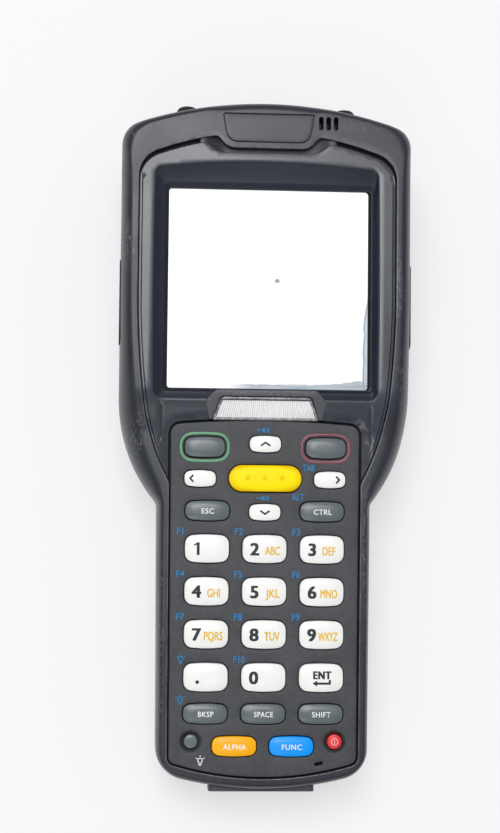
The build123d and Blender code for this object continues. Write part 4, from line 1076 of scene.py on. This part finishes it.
def print_on(title, sign, mark, colour, place=(0.0, 0.0)):
    """Presses a mark onto a key, its place counted from the key's middle, or onto the face."""
    x, y, surface = key_surfaces[title]
    points = mark[0][:, :2] + np.asarray(place, float)
    layers = mark[0][:, 2] if mark[0].shape[1] == 3 else 0.0
    body, slot = ("housing", "keypad_faceplate") if title == "face" else (title, title)
    piece_from(f"print_{title}_{sign}", lay(points[:, 0] + x, points[:, 1] + y, surface(*points.T) + lifted + layers),
               [facing_up(points, mark[1])], inks[colour], slot, body)


# %% Digits and letters on the number keys
letters = {"2": ("ABC", 0.66, 0.1), "3": ("DEF", 0.66, 0.0), "4": ("GHI", 0.66, 0.1), "5": ("JKL", 0.78, 0.6),
           "6": ("MNO", 0.61, -0.5), "7": ("PQRS", 0.67, -0.75), "8": ("TUV", 0.66, 0.1),
           "9": ("WXYZ", 0.54, -0.95)}  # word, width share, left end
for digit in "0123456789":
    strokes = word(digit, 3.3, 1.04, 0.2) if digit != "1" else joined(
        ribbon([(0.3, -1.75), (0.3, 1.75)], 0.78), patch([(0.1, 1.75), (0.1, 1.15), (-0.85, 0.8), (-0.85, 1.2)]))
    print_on("key_" + digit, "digit", strokes, "dark", (-2.75, -0.05))
    if digit in letters:
        text, narrow, left = letters[digit]
        print_on("key_" + digit, "letters", word(text, 2.3, narrow, 0.06, "LEFT"), "orange", (left, -0.45))
print_on("key_period", "dot", patch(ring_path(0.5, 0, 345)), "dark", (-2.3, -1.3))
print_on("key_enter", "word", word("ENT", 2.05, 0.82, 0.16, space=1.16), "dark", (0.2, 0.75))
print_on("key_enter", "arrow", joined(
    ribbon([(2.3, 1.0), (2.3, 0.0), (-1.5, 0.0)], 0.58), patch([(-2.5, 0.0), (-1.2, 0.8), (-1.2, -0.8)])),
    "dark", (0.1, -1.55))

# %% Words on the dark and coloured keys, arrows, and the power sign
for title, text, colour, wide in (
        ("escape", "ESC", "white", 1.0), ("control", "CTRL", "white", 0.95), ("backspace", "BKSP", "white", 0.9),
        ("space", "SPACE", "white", 0.84), ("shift", "SHIFT", "white", 0.92), ("alpha", "ALPHA", "pale", 0.92),
        ("function", "FUNC", "white", 0.98)):
    print_on("key_" + title, "word", word(text, 1.45, 0.98 * wide, 0.035, space=1.12), colour, (0.1, -0.1))
wedge = np.array([(-1.3, -0.4), (0.0, 0.5), (1.3, -0.4)])
for title, turned, place in (("up", wedge, (0, -0.1)), ("down", wedge * [1, -1], (0, 0.0)),
                             ("left", wedge[:, ::-1] * [-1, 0.75], (-2.3, 0)),
                             ("right", wedge[:, ::-1] * [1, 0.75], (2.1, 0))):
    print_on("key_" + title, "arrow", ribbon(turned, 0.5), "dark", place)
print_on("key_power", "sign", joined(ribbon(ring_path(0.9, 0, 360, 40), 0.24), ribbon([(0, -0.45), (0, 0.45)], 0.26)),
         "rose")

# %% Blue words and signs on the faceplate
for number in range(1, 10):
    print_on("face", f"f{number}", word(f"F{number}", 1.85, 0.95, 0.03), "blue",
             (-23.3 + 16.1 * ((number - 1) % 3), -24.3 - row_pitch * ((number - 1) // 3)))
for text, height, wide, bold, place in (
        ("F10", 1.85, 0.85, 0.03, (-6.8, -59.6)), ("TAB", 1.7, 0.76, 0.04, (12.2, -6.4)),
        ("ALT", 1.7, 0.8, 0.04, (9.3, -14.6))):
    print_on("face", text.lower(), word(text, height, wide, bold), "blue", place)


def lamp_sign(scale, stroke):
    """A small bulb: a round outline, a base of two bars, and rays round its top."""
    paths = [ring_path(0.75, -60, 240, 22), [(-0.36, -0.65), (-0.36, -1.25), (0.36, -1.25), (0.36, -0.65)],
             [(-0.3, -1.6), (0.3, -1.6)]]
    for angle in np.radians((30, 90, 150)):
        way = np.array([math.cos(angle), math.sin(angle)])
        paths.append([way * 1.15, way * 1.7])
    return joined(*(ribbon(np.array(path) * scale, stroke) for path in paths))


def loudspeaker_sign(louder):
    """A small speaker cone with two waves, and a plus or a minus before it."""
    marks = [patch([(-0.9, -0.3), (-0.5, -0.3), (0.1, -0.8), (0.1, 0.8), (-0.5, 0.3), (-0.9, 0.3)]),
             ribbon(ring_path(0.7, -42, 42, 8), 0.22), ribbon(ring_path(1.2, -42, 42, 10), 0.22),
             ribbon([(-2.1, 0.0), (-1.3, 0.0)], 0.26)]
    return joined(*marks, *([ribbon([(-1.7, -0.4), (-1.7, 0.4)], 0.26)] if louder else []))


for sign, mark, colour, place in (
        ("lamp_upper", lamp_sign(0.85, 0.26), "blue", (-22.9, -59.5)),
        ("lamp_lower", lamp_sign(0.85, 0.26), "blue", (-22.9, -70.6)),
        ("lamp_white", lamp_sign(0.82, 0.24), "white", (-17.2, -87.3)),
        ("louder", loudspeaker_sign(True), "blue", (-0.2, 4.0)),
        ("softer", loudspeaker_sign(False), "blue", (-0.2, -15.0))):
    print_on("face", sign, mark, colour, place)

# %% [markdown]
# ## The keypad's faceplate
#
# The faceplate is one moulding with a hole for every key, a slot for the microphone, and two round wells for the
# lamp and power keys. The same sheet helper makes it, with a small rounded edge on each hole. Its grain is coarser
# than the housing's, a sparkle of tiny facets. Each call key stands in a thin coloured ring, half an ellipse that
# is carried along the key's own outline.

# %% Faceplate with its holes
keypad_gap, key_gap, faceplate_corner_loss = 0.42, 0.25, (0.7, 0.6)
ring_middle, ring_half_width, ring_rise, ring_foot_z = 1.0, 0.4, 0.2, -0.05
half, foot_half = well_half_width - keypad_gap, well_foot_half_width - keypad_gap
plate_x = np.linspace(0, half, 60)
plate_top = pairs(plate_x, well_top_y - keypad_gap - plate_x**2 / well_top_bow)
plate_foot = arch_run(well_low_y + keypad_gap, -well_low_radius, foot_half, 0)
faceplate_line = mirrored(resampled(chained(rounded_runs(
    [plate_top, straight_run(plate_top[-1], plate_foot[0]), plate_foot],
    [well_top_corner - faceplate_corner_loss[0], well_low_corner - faceplate_corner_loss[1]])), 260))

round_wells = [(x, y) for name, shape, x, y, colour in keys if key_shapes[shape][0] == "round"]
holes = [key_line(*key_shapes[shape][:2], key_gap) + [x, y] for name, shape, x, y, colour in keys
         if key_shapes[shape][0] != "round"]
holes += [key_line("round", (6.0, 6.0)) + place for place in round_wells]
cosine, sine = math.cos(math.radians(12.0)), math.sin(math.radians(12.0))
holes.append(key_line("slot", (2.4, 0.9), count=40) @ np.array([[cosine, sine], [-sine, cosine]]) + [15.6, -88.2])
faceplate_plastic = plastic("faceplate_plastic", tone(64, 65, 69), 0.54, 0.000045, 1500.0, 0.16, 0.35)
faceplate_sheet = sheet_with_holes(faceplate_line, lambda x, y: 0 * x, spacing=1.6, edge=0.25, wall=-1.6, holes=holes,
                                   hole_edge=0.2)
faceplate = sheet_piece("keypad_front", faceplate_sheet, faceplate_plastic, "keypad_faceplate", stands=True, sharp=45)
well_profile = ((1.95, -1.6), (2.45, -0.9), (2.6, -0.55), (2.85, -0.45), (3.0, -0.2))
well_circle = key_line("round", (2.0, 2.0), count=64)
for i, place in enumerate(round_wells):
    loft(f"keypad_well_{i}", laid([at(well_circle * r + place, z) for r, z in well_profile]), faceplate_plastic,
         "keypad_faceplate")
# painted shade: a dark sheet under the gap round the faceplate, standing in for the shade in that gap
gap_shade_floor = Finish("well_gap_painted_shade", Roughness=0.7, Specular_IOR_Level=0.2)  # shows dark round the faceplate
gap_shade_floor.set(Base_Color=gap_shade_floor.blend(gap_shade_floor.noise(400.0, 3.0), tone(14, 14, 17), tone(26, 27, 31)))
loft("keypad_gap_shade_floor", laid([at(grown(faceplate_line, by), z) for by, z in ((-1.2, -1.5), (0.2, -1.5), (1.1, -1.45))]),
     gap_shade_floor, "keypad_faceplate")
print("faceplate:", len(faceplate.data.polygons), "faces,", len(holes), "holes")

# %% Rings round the call keys
for title, key, colour in (("ring_left", "green", tone(98, 160, 120)), ("ring_right", "red", tone(134, 74, 86))):
    middle, node = key_line(*key_shapes["call"][:2], ring_middle, count=120), "key_ring_" + key
    place = key_surfaces["key_" + key][:2]
    rings = [at(grown(middle, math.cos(a) * ring_half_width) + place, ring_rise * math.sin(a) + ring_foot_z)
             for a in np.linspace(math.pi, 0, 9)]
    loft(title, laid(rings), key_plastic("enamel_" + title, colour, 0.4, 0.1, 0.08, 0.25), node, stands=True)
print("rings made")

# %% [markdown]
# ## Display
#
# The display shows plain white, which its finish paints as a glow of its own: a painted reflection of bright
# surroundings, as the panel is no lamp. Its glass carries a protective film that has worn along two edges, where it
# looks bluish and streaky, and there is one small mark in the middle. The glass itself is flat, so the CAD panel
# stays, and its finish holds all of this as light of varying colour.

# %% Display with a painted white glow and a worn film
# painted light: the display glows white with its own emission, standing in for the white that its glass reflects
screen = Finish("display_painted_glow", Base_Color=(0.02, 0.02, 0.022), Roughness=0.12, Specular_IOR_Level=0.5,
                Emission_Strength=1.0)
x, y, z = screen.parts(screen.face_place())
ripple = screen.noise(1.0, 3.0, 0.55, (0.22, 0.12, 1.0), face=True) - 0.5
upright = screen.noise(1.0, 4.0, 0.6, (1.6, 0.08, 1.0), face=True)
level = screen.noise(1.0, 4.0, 0.6, (0.08, 1.6, 1.0), face=True)
film_right_x, film_foot_y, mark_x, mark_y = 29.3, 17.0, 2.9, 46.0
inward = x - film_right_x + 2.1 * ((49.6 - y) / 17.0).clipped() + 1.6 * ripple  # distance past the film's torn edge
upward = film_foot_y - y + 1.0 * ((x - 16.0) / 9.0).clipped() + 1.8 * ripple
film = (inward.between(0.0, 0.25) * (0.22 + 0.5 * upright + 0.5 * inward.between(0.7, 0.1))).most(
    upward.between(0.0, 0.3) * (x + 12.0).between(0.0, 9.0) * (0.2 + 0.9 * level)).clipped()
mark_away = (((x - mark_x) ** 2.0 + ((y - mark_y) * 1.25) ** 2.0).root() - 0.15
             + 0.9 * (screen.noise(1.6, 3.0, face=True) - 0.5))
# painted shade: a slightly darker band along both side edges of the display, beside the recess walls
rim_painted_shade = ((x - window_shift) ** 2.0).between(27.6**2, 28.6**2) * 0.12
painted_white_glow = screen.blend(mark_away.between(0.85, 0.35), screen.blend(film, (0.945, 0.95, 0.955), tone(106, 130, 148)),
                   tone(84, 87, 94))
screen.set(Emission_Color=screen.blend(rim_painted_shade, painted_white_glow, tone(150, 160, 170)))
print("display finish:", len(screen.tree.nodes), "nodes")

# %% [markdown]
# ## Name plate, speaker slots and side slots
#
# The pod in the cap holds a bare name plate in a shallow pocket, beside three slots for the speaker, and the frame
# has a slot for each side button. These are real openings, cut out of the frame's rings by a Boolean modifier, which
# is applied at once so that the frame stays one plain mesh.

# %% Cutters
plate_half_top, plate_half_low, plate_low_y, plate_high_y, plate_corner = 13.0, 11.6, 84.7, 92.8, 3.4
button_half_length, button_half_height, button_corner, button_y, button_z = 12.0, 3.2, 2.0, 40.0, -6.8


def prism(rings, outward):
    """Closed prism between two outlines; outward says which way the second one lies from the first."""
    count = len(rings[0])
    caps = [list(range(count)), [count + i for i in range(count)]]
    caps[not outward].reverse()
    return laid(rings), [ring_faces(2, count), caps]


def column(line, low_z, high_z):
    """Closed prism over an outline of the face."""
    return prism([at(line, high_z), at(line, low_z)], False)


def side_column(hand, low_x, high_x, grow):
    """Closed prism along x over a side button's rounded outline."""
    half_y, half_z, corner = button_half_length + grow, button_half_height + grow, button_corner + grow
    line = cornered([(0, half_z), (half_y, half_z), (half_y, -half_z), (0, -half_z)], [corner, corner], 60)
    line = line + [button_y, button_z]
    return prism([np.c_[np.full(len(line), hand * x), line] for x in (low_x, high_x)], True)


def plate_line(inset):
    """The name plate's outline: slanting ends, narrower at its foot, where its corners are round."""
    return grown(cornered([(0, plate_high_y), (plate_half_top, plate_high_y), (plate_half_low, plate_low_y),
                           (0, plate_low_y)], [0.6, plate_corner], 80), -inset)


speaker_line = leftward(key_line("slot", (3.9, 1.3), count=40))
cutters = [column(plate_line(-0.14), head_front_z - 0.75, head_front_z + 1.5)]
cutters += [column(speaker_line + [16.8 + 2.1 * step, 90.4], -3.2, head_front_z + 1.5) for step in (-1, 0, 1)]
cutters += [side_column(hand, 37.0, 44.0, 0.3) for hand in (-1, 1)]
for i, (points, faces) in enumerate(cutters):
    tool = piece_from(f"cutter_{i}", points, faces, housing_plastic)
    cut = frame_shell.modifiers.new("cut", "BOOLEAN")
    cut.operation, cut.solver, cut.object = "DIFFERENCE", "EXACT", tool
    bpy.context.view_layer.update()
    shaped = bpy.data.meshes.new_from_object(frame_shell.evaluated_get(bpy.context.evaluated_depsgraph_get()))
    frame_shell.modifiers.clear()
    frame_shell.data = shaped
    bpy.data.objects.remove(tool)
frame_shell.data.shade_smooth()
frame_shell.data.set_sharp_from_angle(angle=math.radians(42))
print("frame after the cuts:", len(frame_shell.data.polygons), "faces")

# %% Name plate
plate_sheet = sheet_with_holes(plate_line(0.1), lambda x, y: head_front_z - 0.02 + 0 * x, spacing=1.2, edge=0.3,
                               wall=head_front_z - 0.7)
sheet_piece("name_plate_bare", plate_sheet, plastic("plate_plastic", tone(58, 60, 66), 0.4, 0.000008, 3200.0, 0.1),
            "name_plate", stands=True, sharp=45)
print("plate made")

# %% [markdown]
# ## Rubber bumpers
#
# Two rubber bumpers stand out beside the scan window, so that the terminal can be stood or dropped on its head. Each
# is a slot-shaped block with a well rounded front: the outline, carried forward and drawn in along a quarter circle.

# %% Bumpers
rubber = plastic("bumper_rubber", tone(38, 39, 43), 0.68, 0.00003, 2200.0, 0.15, 0.25)
bumper_line = leftward(key_line("slot", (22.4, 6.2)))
bumper_x, bumper_z, bumper_root_y, bumper_edge_y, bumper_round = 22.6, -18.2, 91.2, 95.4, 1.8
bumper_steps = [(bumper_root_y, 0.0), (bumper_edge_y, 0.0)]
bumper_steps += [(bumper_edge_y + bumper_round * math.sin(a), bumper_round * (1 - math.cos(a)))
                 for a in np.linspace(0.2, quarter, 7)]
for side_name, x in (("left", -bumper_x), ("right", bumper_x)):
    plans = [(y, grown(bumper_line, -inset)) for y, inset in bumper_steps]
    rings = [np.stack([plan[:, 0] + x, np.full(len(plan), y), plan[:, 1] + bumper_z], axis=-1) for y, plan in plans]
    loft("bumper_" + side_name, laid(rings), rubber, "bumpers", capped=True, stands=True, sharp=60)
print("bumpers made")

# %% [markdown]
# ## Finishes of the parts that stay
#
# The rest of the terminal keeps its CAD meshes: the rear shell, the battery, the buttons, the scan window and all
# that lies inside. Plastics come from the function above; metal, circuit board and rubber get small functions too,
# because each has one habit that tells it apart: metal is brushed along one direction, a board has traces under
# green resist, and rubber is matt and a little dusty.

# %% Metal, board and rubber
def metal(name, colour, roughness=0.3, brush=(2600.0, 60.0, 60.0)):
    """Bare or plated metal with fine brush lines along one axis and a patchy sheen."""
    finish = Finish(name, Metallic=1.0)
    lines = finish.noise(1.0, 3.0, 0.6, brush)
    patchy = finish.noise(150.0, 4.0, 0.6)
    return finish.set(Base_Color=finish.blend(patchy.between(0.3, 0.75), scaled(colour, 0.72), colour),
                      Roughness=roughness + 0.2 * (lines - 0.5) + 0.15 * (patchy - 0.5),
                      Normal=finish.bump(lines, 0.000008))


def circuit_board(name, resist):
    """Green resist over copper traces: lines along and across, bent by a slow noise."""
    finish = Finish(name, Roughness=0.32, Specular_IOR_Level=0.5)
    x, y, z = finish.parts(finish.face_place())
    bend = finish.noise(0.16, 1.0, face=True)
    traces = (x * 3.1 + 6.0 * bend).wave().between(0.72, 0.9).most((y * 2.7 + 7.0 * bend).wave().between(0.78, 0.92))
    light = scaled(resist, 1.9, 0.01)
    return finish.set(Base_Color=finish.blend(traces * 0.7, finish.blend(bend, resist, light), light),
                      Normal=finish.bump(traces, 0.00003))


def dull_rubber(name, colour, roughness=0.7):
    """Rubber: matt, with dust in a broad pattern and a fine tooth."""
    finish = Finish(name, Specular_IOR_Level=0.25)
    dust = finish.noise(120.0, 5.0, 0.65)
    return finish.set(Base_Color=finish.blend(dust.between(0.45, 0.75) * 0.6, colour, scaled(colour, 1.6, 0.01)),
                      Roughness=roughness + 0.12 * (dust - 0.5),
                      Normal=finish.bump(finish.noise(1700.0, 2.0, 0.6), 0.00003))


def rubbed(finish, pale, height=0.6):
    """Fine scratches on the lowest fraction of a millimetre, where the back lies on a table."""
    x, y, z = finish.parts(finish.stretched(finish.place(), (1000.0, 1000.0, 1000.0)))
    low = z.between(height, 0.0)
    scratch = finish.noise(1.0, 4.0, 0.7, (380.0, 4200.0, 400.0)).between(0.5, 0.62)
    patchy = finish.noise(75.0, 4.0, 0.65).between(0.4, 0.7)
    finish.colour = finish.blend((low * patchy * scratch * 0.8).clipped(), finish.colour, pale)
    return finish.set(Base_Color=finish.colour, Roughness=finish.rough - 0.12 * low * patchy)


button_rubber = dull_rubber("button_rubber", tone(44, 45, 50), 0.62)
scan_glass = Finish("scan_window_red", Roughness=0.06, Specular_IOR_Level=0.5, Transmission_Weight=0.55, IOR=1.49,
                    Coat_Weight=0.4, Coat_Roughness=0.04)
scan_glass.set(Base_Color=scan_glass.blend(scan_glass.noise(95.0, 4.0, 0.6).between(0.3, 0.7), tone(96, 12, 22),
                                           tone(122, 22, 32)))

# %% Finishes of every CAD node that stays
stays = {
    "rear_housing": rubbed(rear_plastic, tone(104, 107, 114)),
    "battery_pack": rubbed(plastic("battery_plastic", tone(42, 43, 48), 0.5, 0.000035, 1700.0), tone(98, 100, 106)),
    "battery_latch": plastic("latch_plastic", tone(96, 99, 106), 0.42, 0.000012, 2600.0),
    "side_button_left": button_rubber, "side_button_right": button_rubber, "scan_window": scan_glass,
    "touch_panel": screen,
    "housing_screws": metal("screw_steel", tone(150, 150, 154), 0.32, (900.0, 900.0, 60.0)),
    "housing_seal": dull_rubber("seal_rubber", tone(22, 22, 25)),
    "display_gasket": dull_rubber("gasket_foam", tone(26, 26, 30), 0.85),
    "keypad_mat": dull_rubber("mat_silicone", tone(86, 88, 94), 0.6),
    "display_module": plastic("module_black", tone(26, 27, 30), 0.4),
    "display_bracket": metal("bracket_steel", tone(168, 168, 166), 0.35),
    "shield_can": metal("shield_tin", tone(190, 190, 186), 0.3),
    "key_domes": metal("dome_steel", tone(188, 186, 178), 0.25, (600.0, 600.0, 600.0)),
    "battery_contacts": metal("battery_gold", tone(212, 172, 92), 0.28, (60.0, 1800.0, 60.0)),
    "dock_contacts": metal("dock_gold", tone(214, 176, 98), 0.26, (60.0, 60.0, 1800.0)),
    "main_board": circuit_board("main_board_green", tone(16, 74, 46)),
    "keypad_board": circuit_board("keypad_board_green", tone(18, 80, 52)),
    "side_switches": plastic("switch_black", tone(30, 30, 34), 0.45),
    "speaker": plastic("speaker_cone", tone(24, 24, 27), 0.6, 0.00005, 900.0),
    "microphone": dull_rubber("microphone_black", tone(14, 14, 16), 0.8),
    "dock_connector": plastic("dock_nylon", tone(66, 68, 74), 0.44, 0.00001, 2400.0),
    "scan_engine": plastic("engine_black", tone(30, 30, 36), 0.36),
}
for name, finish in stays.items():
    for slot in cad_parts[name].material_slots:
        slot.material = finish.material
print("nodes with a finish of their own:", len(stays), "- replaced by pieces:", len(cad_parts) - len(stays))

# %% [markdown]
# ## Floor, light and camera
#
# The terminal lies on a plain pale floor. A large soft lamp hangs above its head, a little to the left, where a flat
# face that looks up mirrors it, so that the display's surround is lighter than the flanks. A weak second lamp fills
# from beyond the grip, and the world is a plain grey that is lighter overhead. A part of the floor's light is its
# own, so that it comes out just short of white wherever a ray from the camera meets it, also in a mirror.

# %% Floor
floor_half, floor_z, own_light = 4.0, -0.0002, 0.6  # metres, metres, share of the floor's light
floor_paint = Finish("floor_white", Roughness=0.65, Specular_IOR_Level=0.15)
floor_paint.set(Base_Color=floor_paint.blend(floor_paint.noise(1.4, 2.0), (0.925, 0.93, 0.935), (0.935, 0.94, 0.942)))
seen = floor_paint.tree.nodes.new("ShaderNodeLightPath")
camera_ray, mirrored_ray, passed_ray = (Reading(floor_paint, seen.outputs[f"Is {kind} Ray"])
                                        for kind in ("Camera", "Glossy", "Transmission"))
glow = floor_paint.node("ShaderNodeEmission", {}, {"Color": (0.93, 0.94, 0.945)})
both = floor_paint.node("ShaderNodeMixShader", {}, {0: camera_ray.most(mirrored_ray).most(passed_ray) * own_light,
                                                    1: Reading(floor_paint, floor_paint.shader.outputs[0]), 2: glow})
floor_paint.feed(floor_paint.output.inputs["Surface"], both)
floor_mesh = bpy.data.meshes.new("floor")
floor_mesh.from_pydata([(floor_half * x, floor_half * y, floor_z) for x, y in ((-1, -1), (1, -1), (1, 1), (-1, 1))],
                       [], [(0, 1, 2, 3)])
floor_mesh.materials.append(floor_paint.material)
floor = linked("floor", floor_mesh)
print("floor", 2 * floor_half, "m wide")

# %% Lamps and world
for name, place, aim, width, depth, watts in (
        ("lamp_over_head", (-0.14, 0.27, 1.12), (0.0, 0.02, 0.02), 0.46, 0.60, 7.15),
        ("lamp_fill", (-0.22, -0.72, 0.92), (0.0, 0.0, 0.02), 0.40, 0.35, 1.2)):
    light = bpy.data.lights.new(name, "AREA")
    light.shape, light.size, light.size_y, light.energy = "RECTANGLE", width, depth, watts
    lamp = linked(name, light)
    lamp.location = place
    lamp.rotation_euler = (Vector(aim) - Vector(place)).to_track_quat("-Z", "Y").to_euler()

world_low, world_high = 0.16, 0.66
world = bpy.data.worlds.new("studio")
bpy.context.scene.world = world
world.use_nodes = True
sky = world.node_tree
direction, split, ramp = (sky.nodes.new("ShaderNode" + kind) for kind in ("TexCoord", "SeparateXYZ", "MapRange"))
sky.links.new(direction.outputs["Generated"], split.inputs[0])
sky.links.new(split.outputs["Z"], ramp.inputs["Value"])
for title, value in (("From Min", 0.0), ("From Max", 1.0), ("To Min", world_low), ("To Max", world_high)):
    ramp.inputs[title].default_value = value
sky.links.new(ramp.outputs[0], sky.nodes["Background"].inputs["Color"])
bpy.context.scene.view_settings.view_transform = "Standard"

# %% [markdown]
# ## Camera
#
# The camera looks almost straight down on the face, from a little to the left and from below the grip's end, half a
# metre away. Its place follows from three turns and a shift: the rows of one rotation matrix are the camera's own
# axes, so the matrix turned round gives its place in the scene.

# %% Camera from three turns
view_shift, view_distance, focal_pixels, view_height_pixels = (-4.28, 6.63), 500.0, 1790.6, 833
axes = np.eye(3)
for degrees, first, second in ((3.66, 2, 0), (-8.77, 1, 2), (-0.25, 0, 1)):  # yaw, pitch and roll
    cosine, sine, turn = math.cos(math.radians(degrees)), math.sin(math.radians(degrees)), np.eye(3)
    turn[first, first], turn[first, second], turn[second, first], turn[second, second] = cosine, -sine, sine, cosine
    axes = turn @ axes
eye = np.array([0, 0, face_origin[2]]) + axes.T @ np.array([*view_shift, view_distance])
view = bpy.data.cameras.new("view")
view.sensor_fit, view.sensor_height = "VERTICAL", 36.0
view.lens = focal_pixels / view_height_pixels * view.sensor_height
camera = linked("camera", view)
camera.matrix_world = Matrix(np.vstack([np.c_[axes.T, eye / 1000], [0, 0, 0, 1]]).tolist())
bpy.context.scene.camera = camera
print("camera at", [round(v, 1) for v in eye], "mm, lens", round(view.lens, 1), "mm")
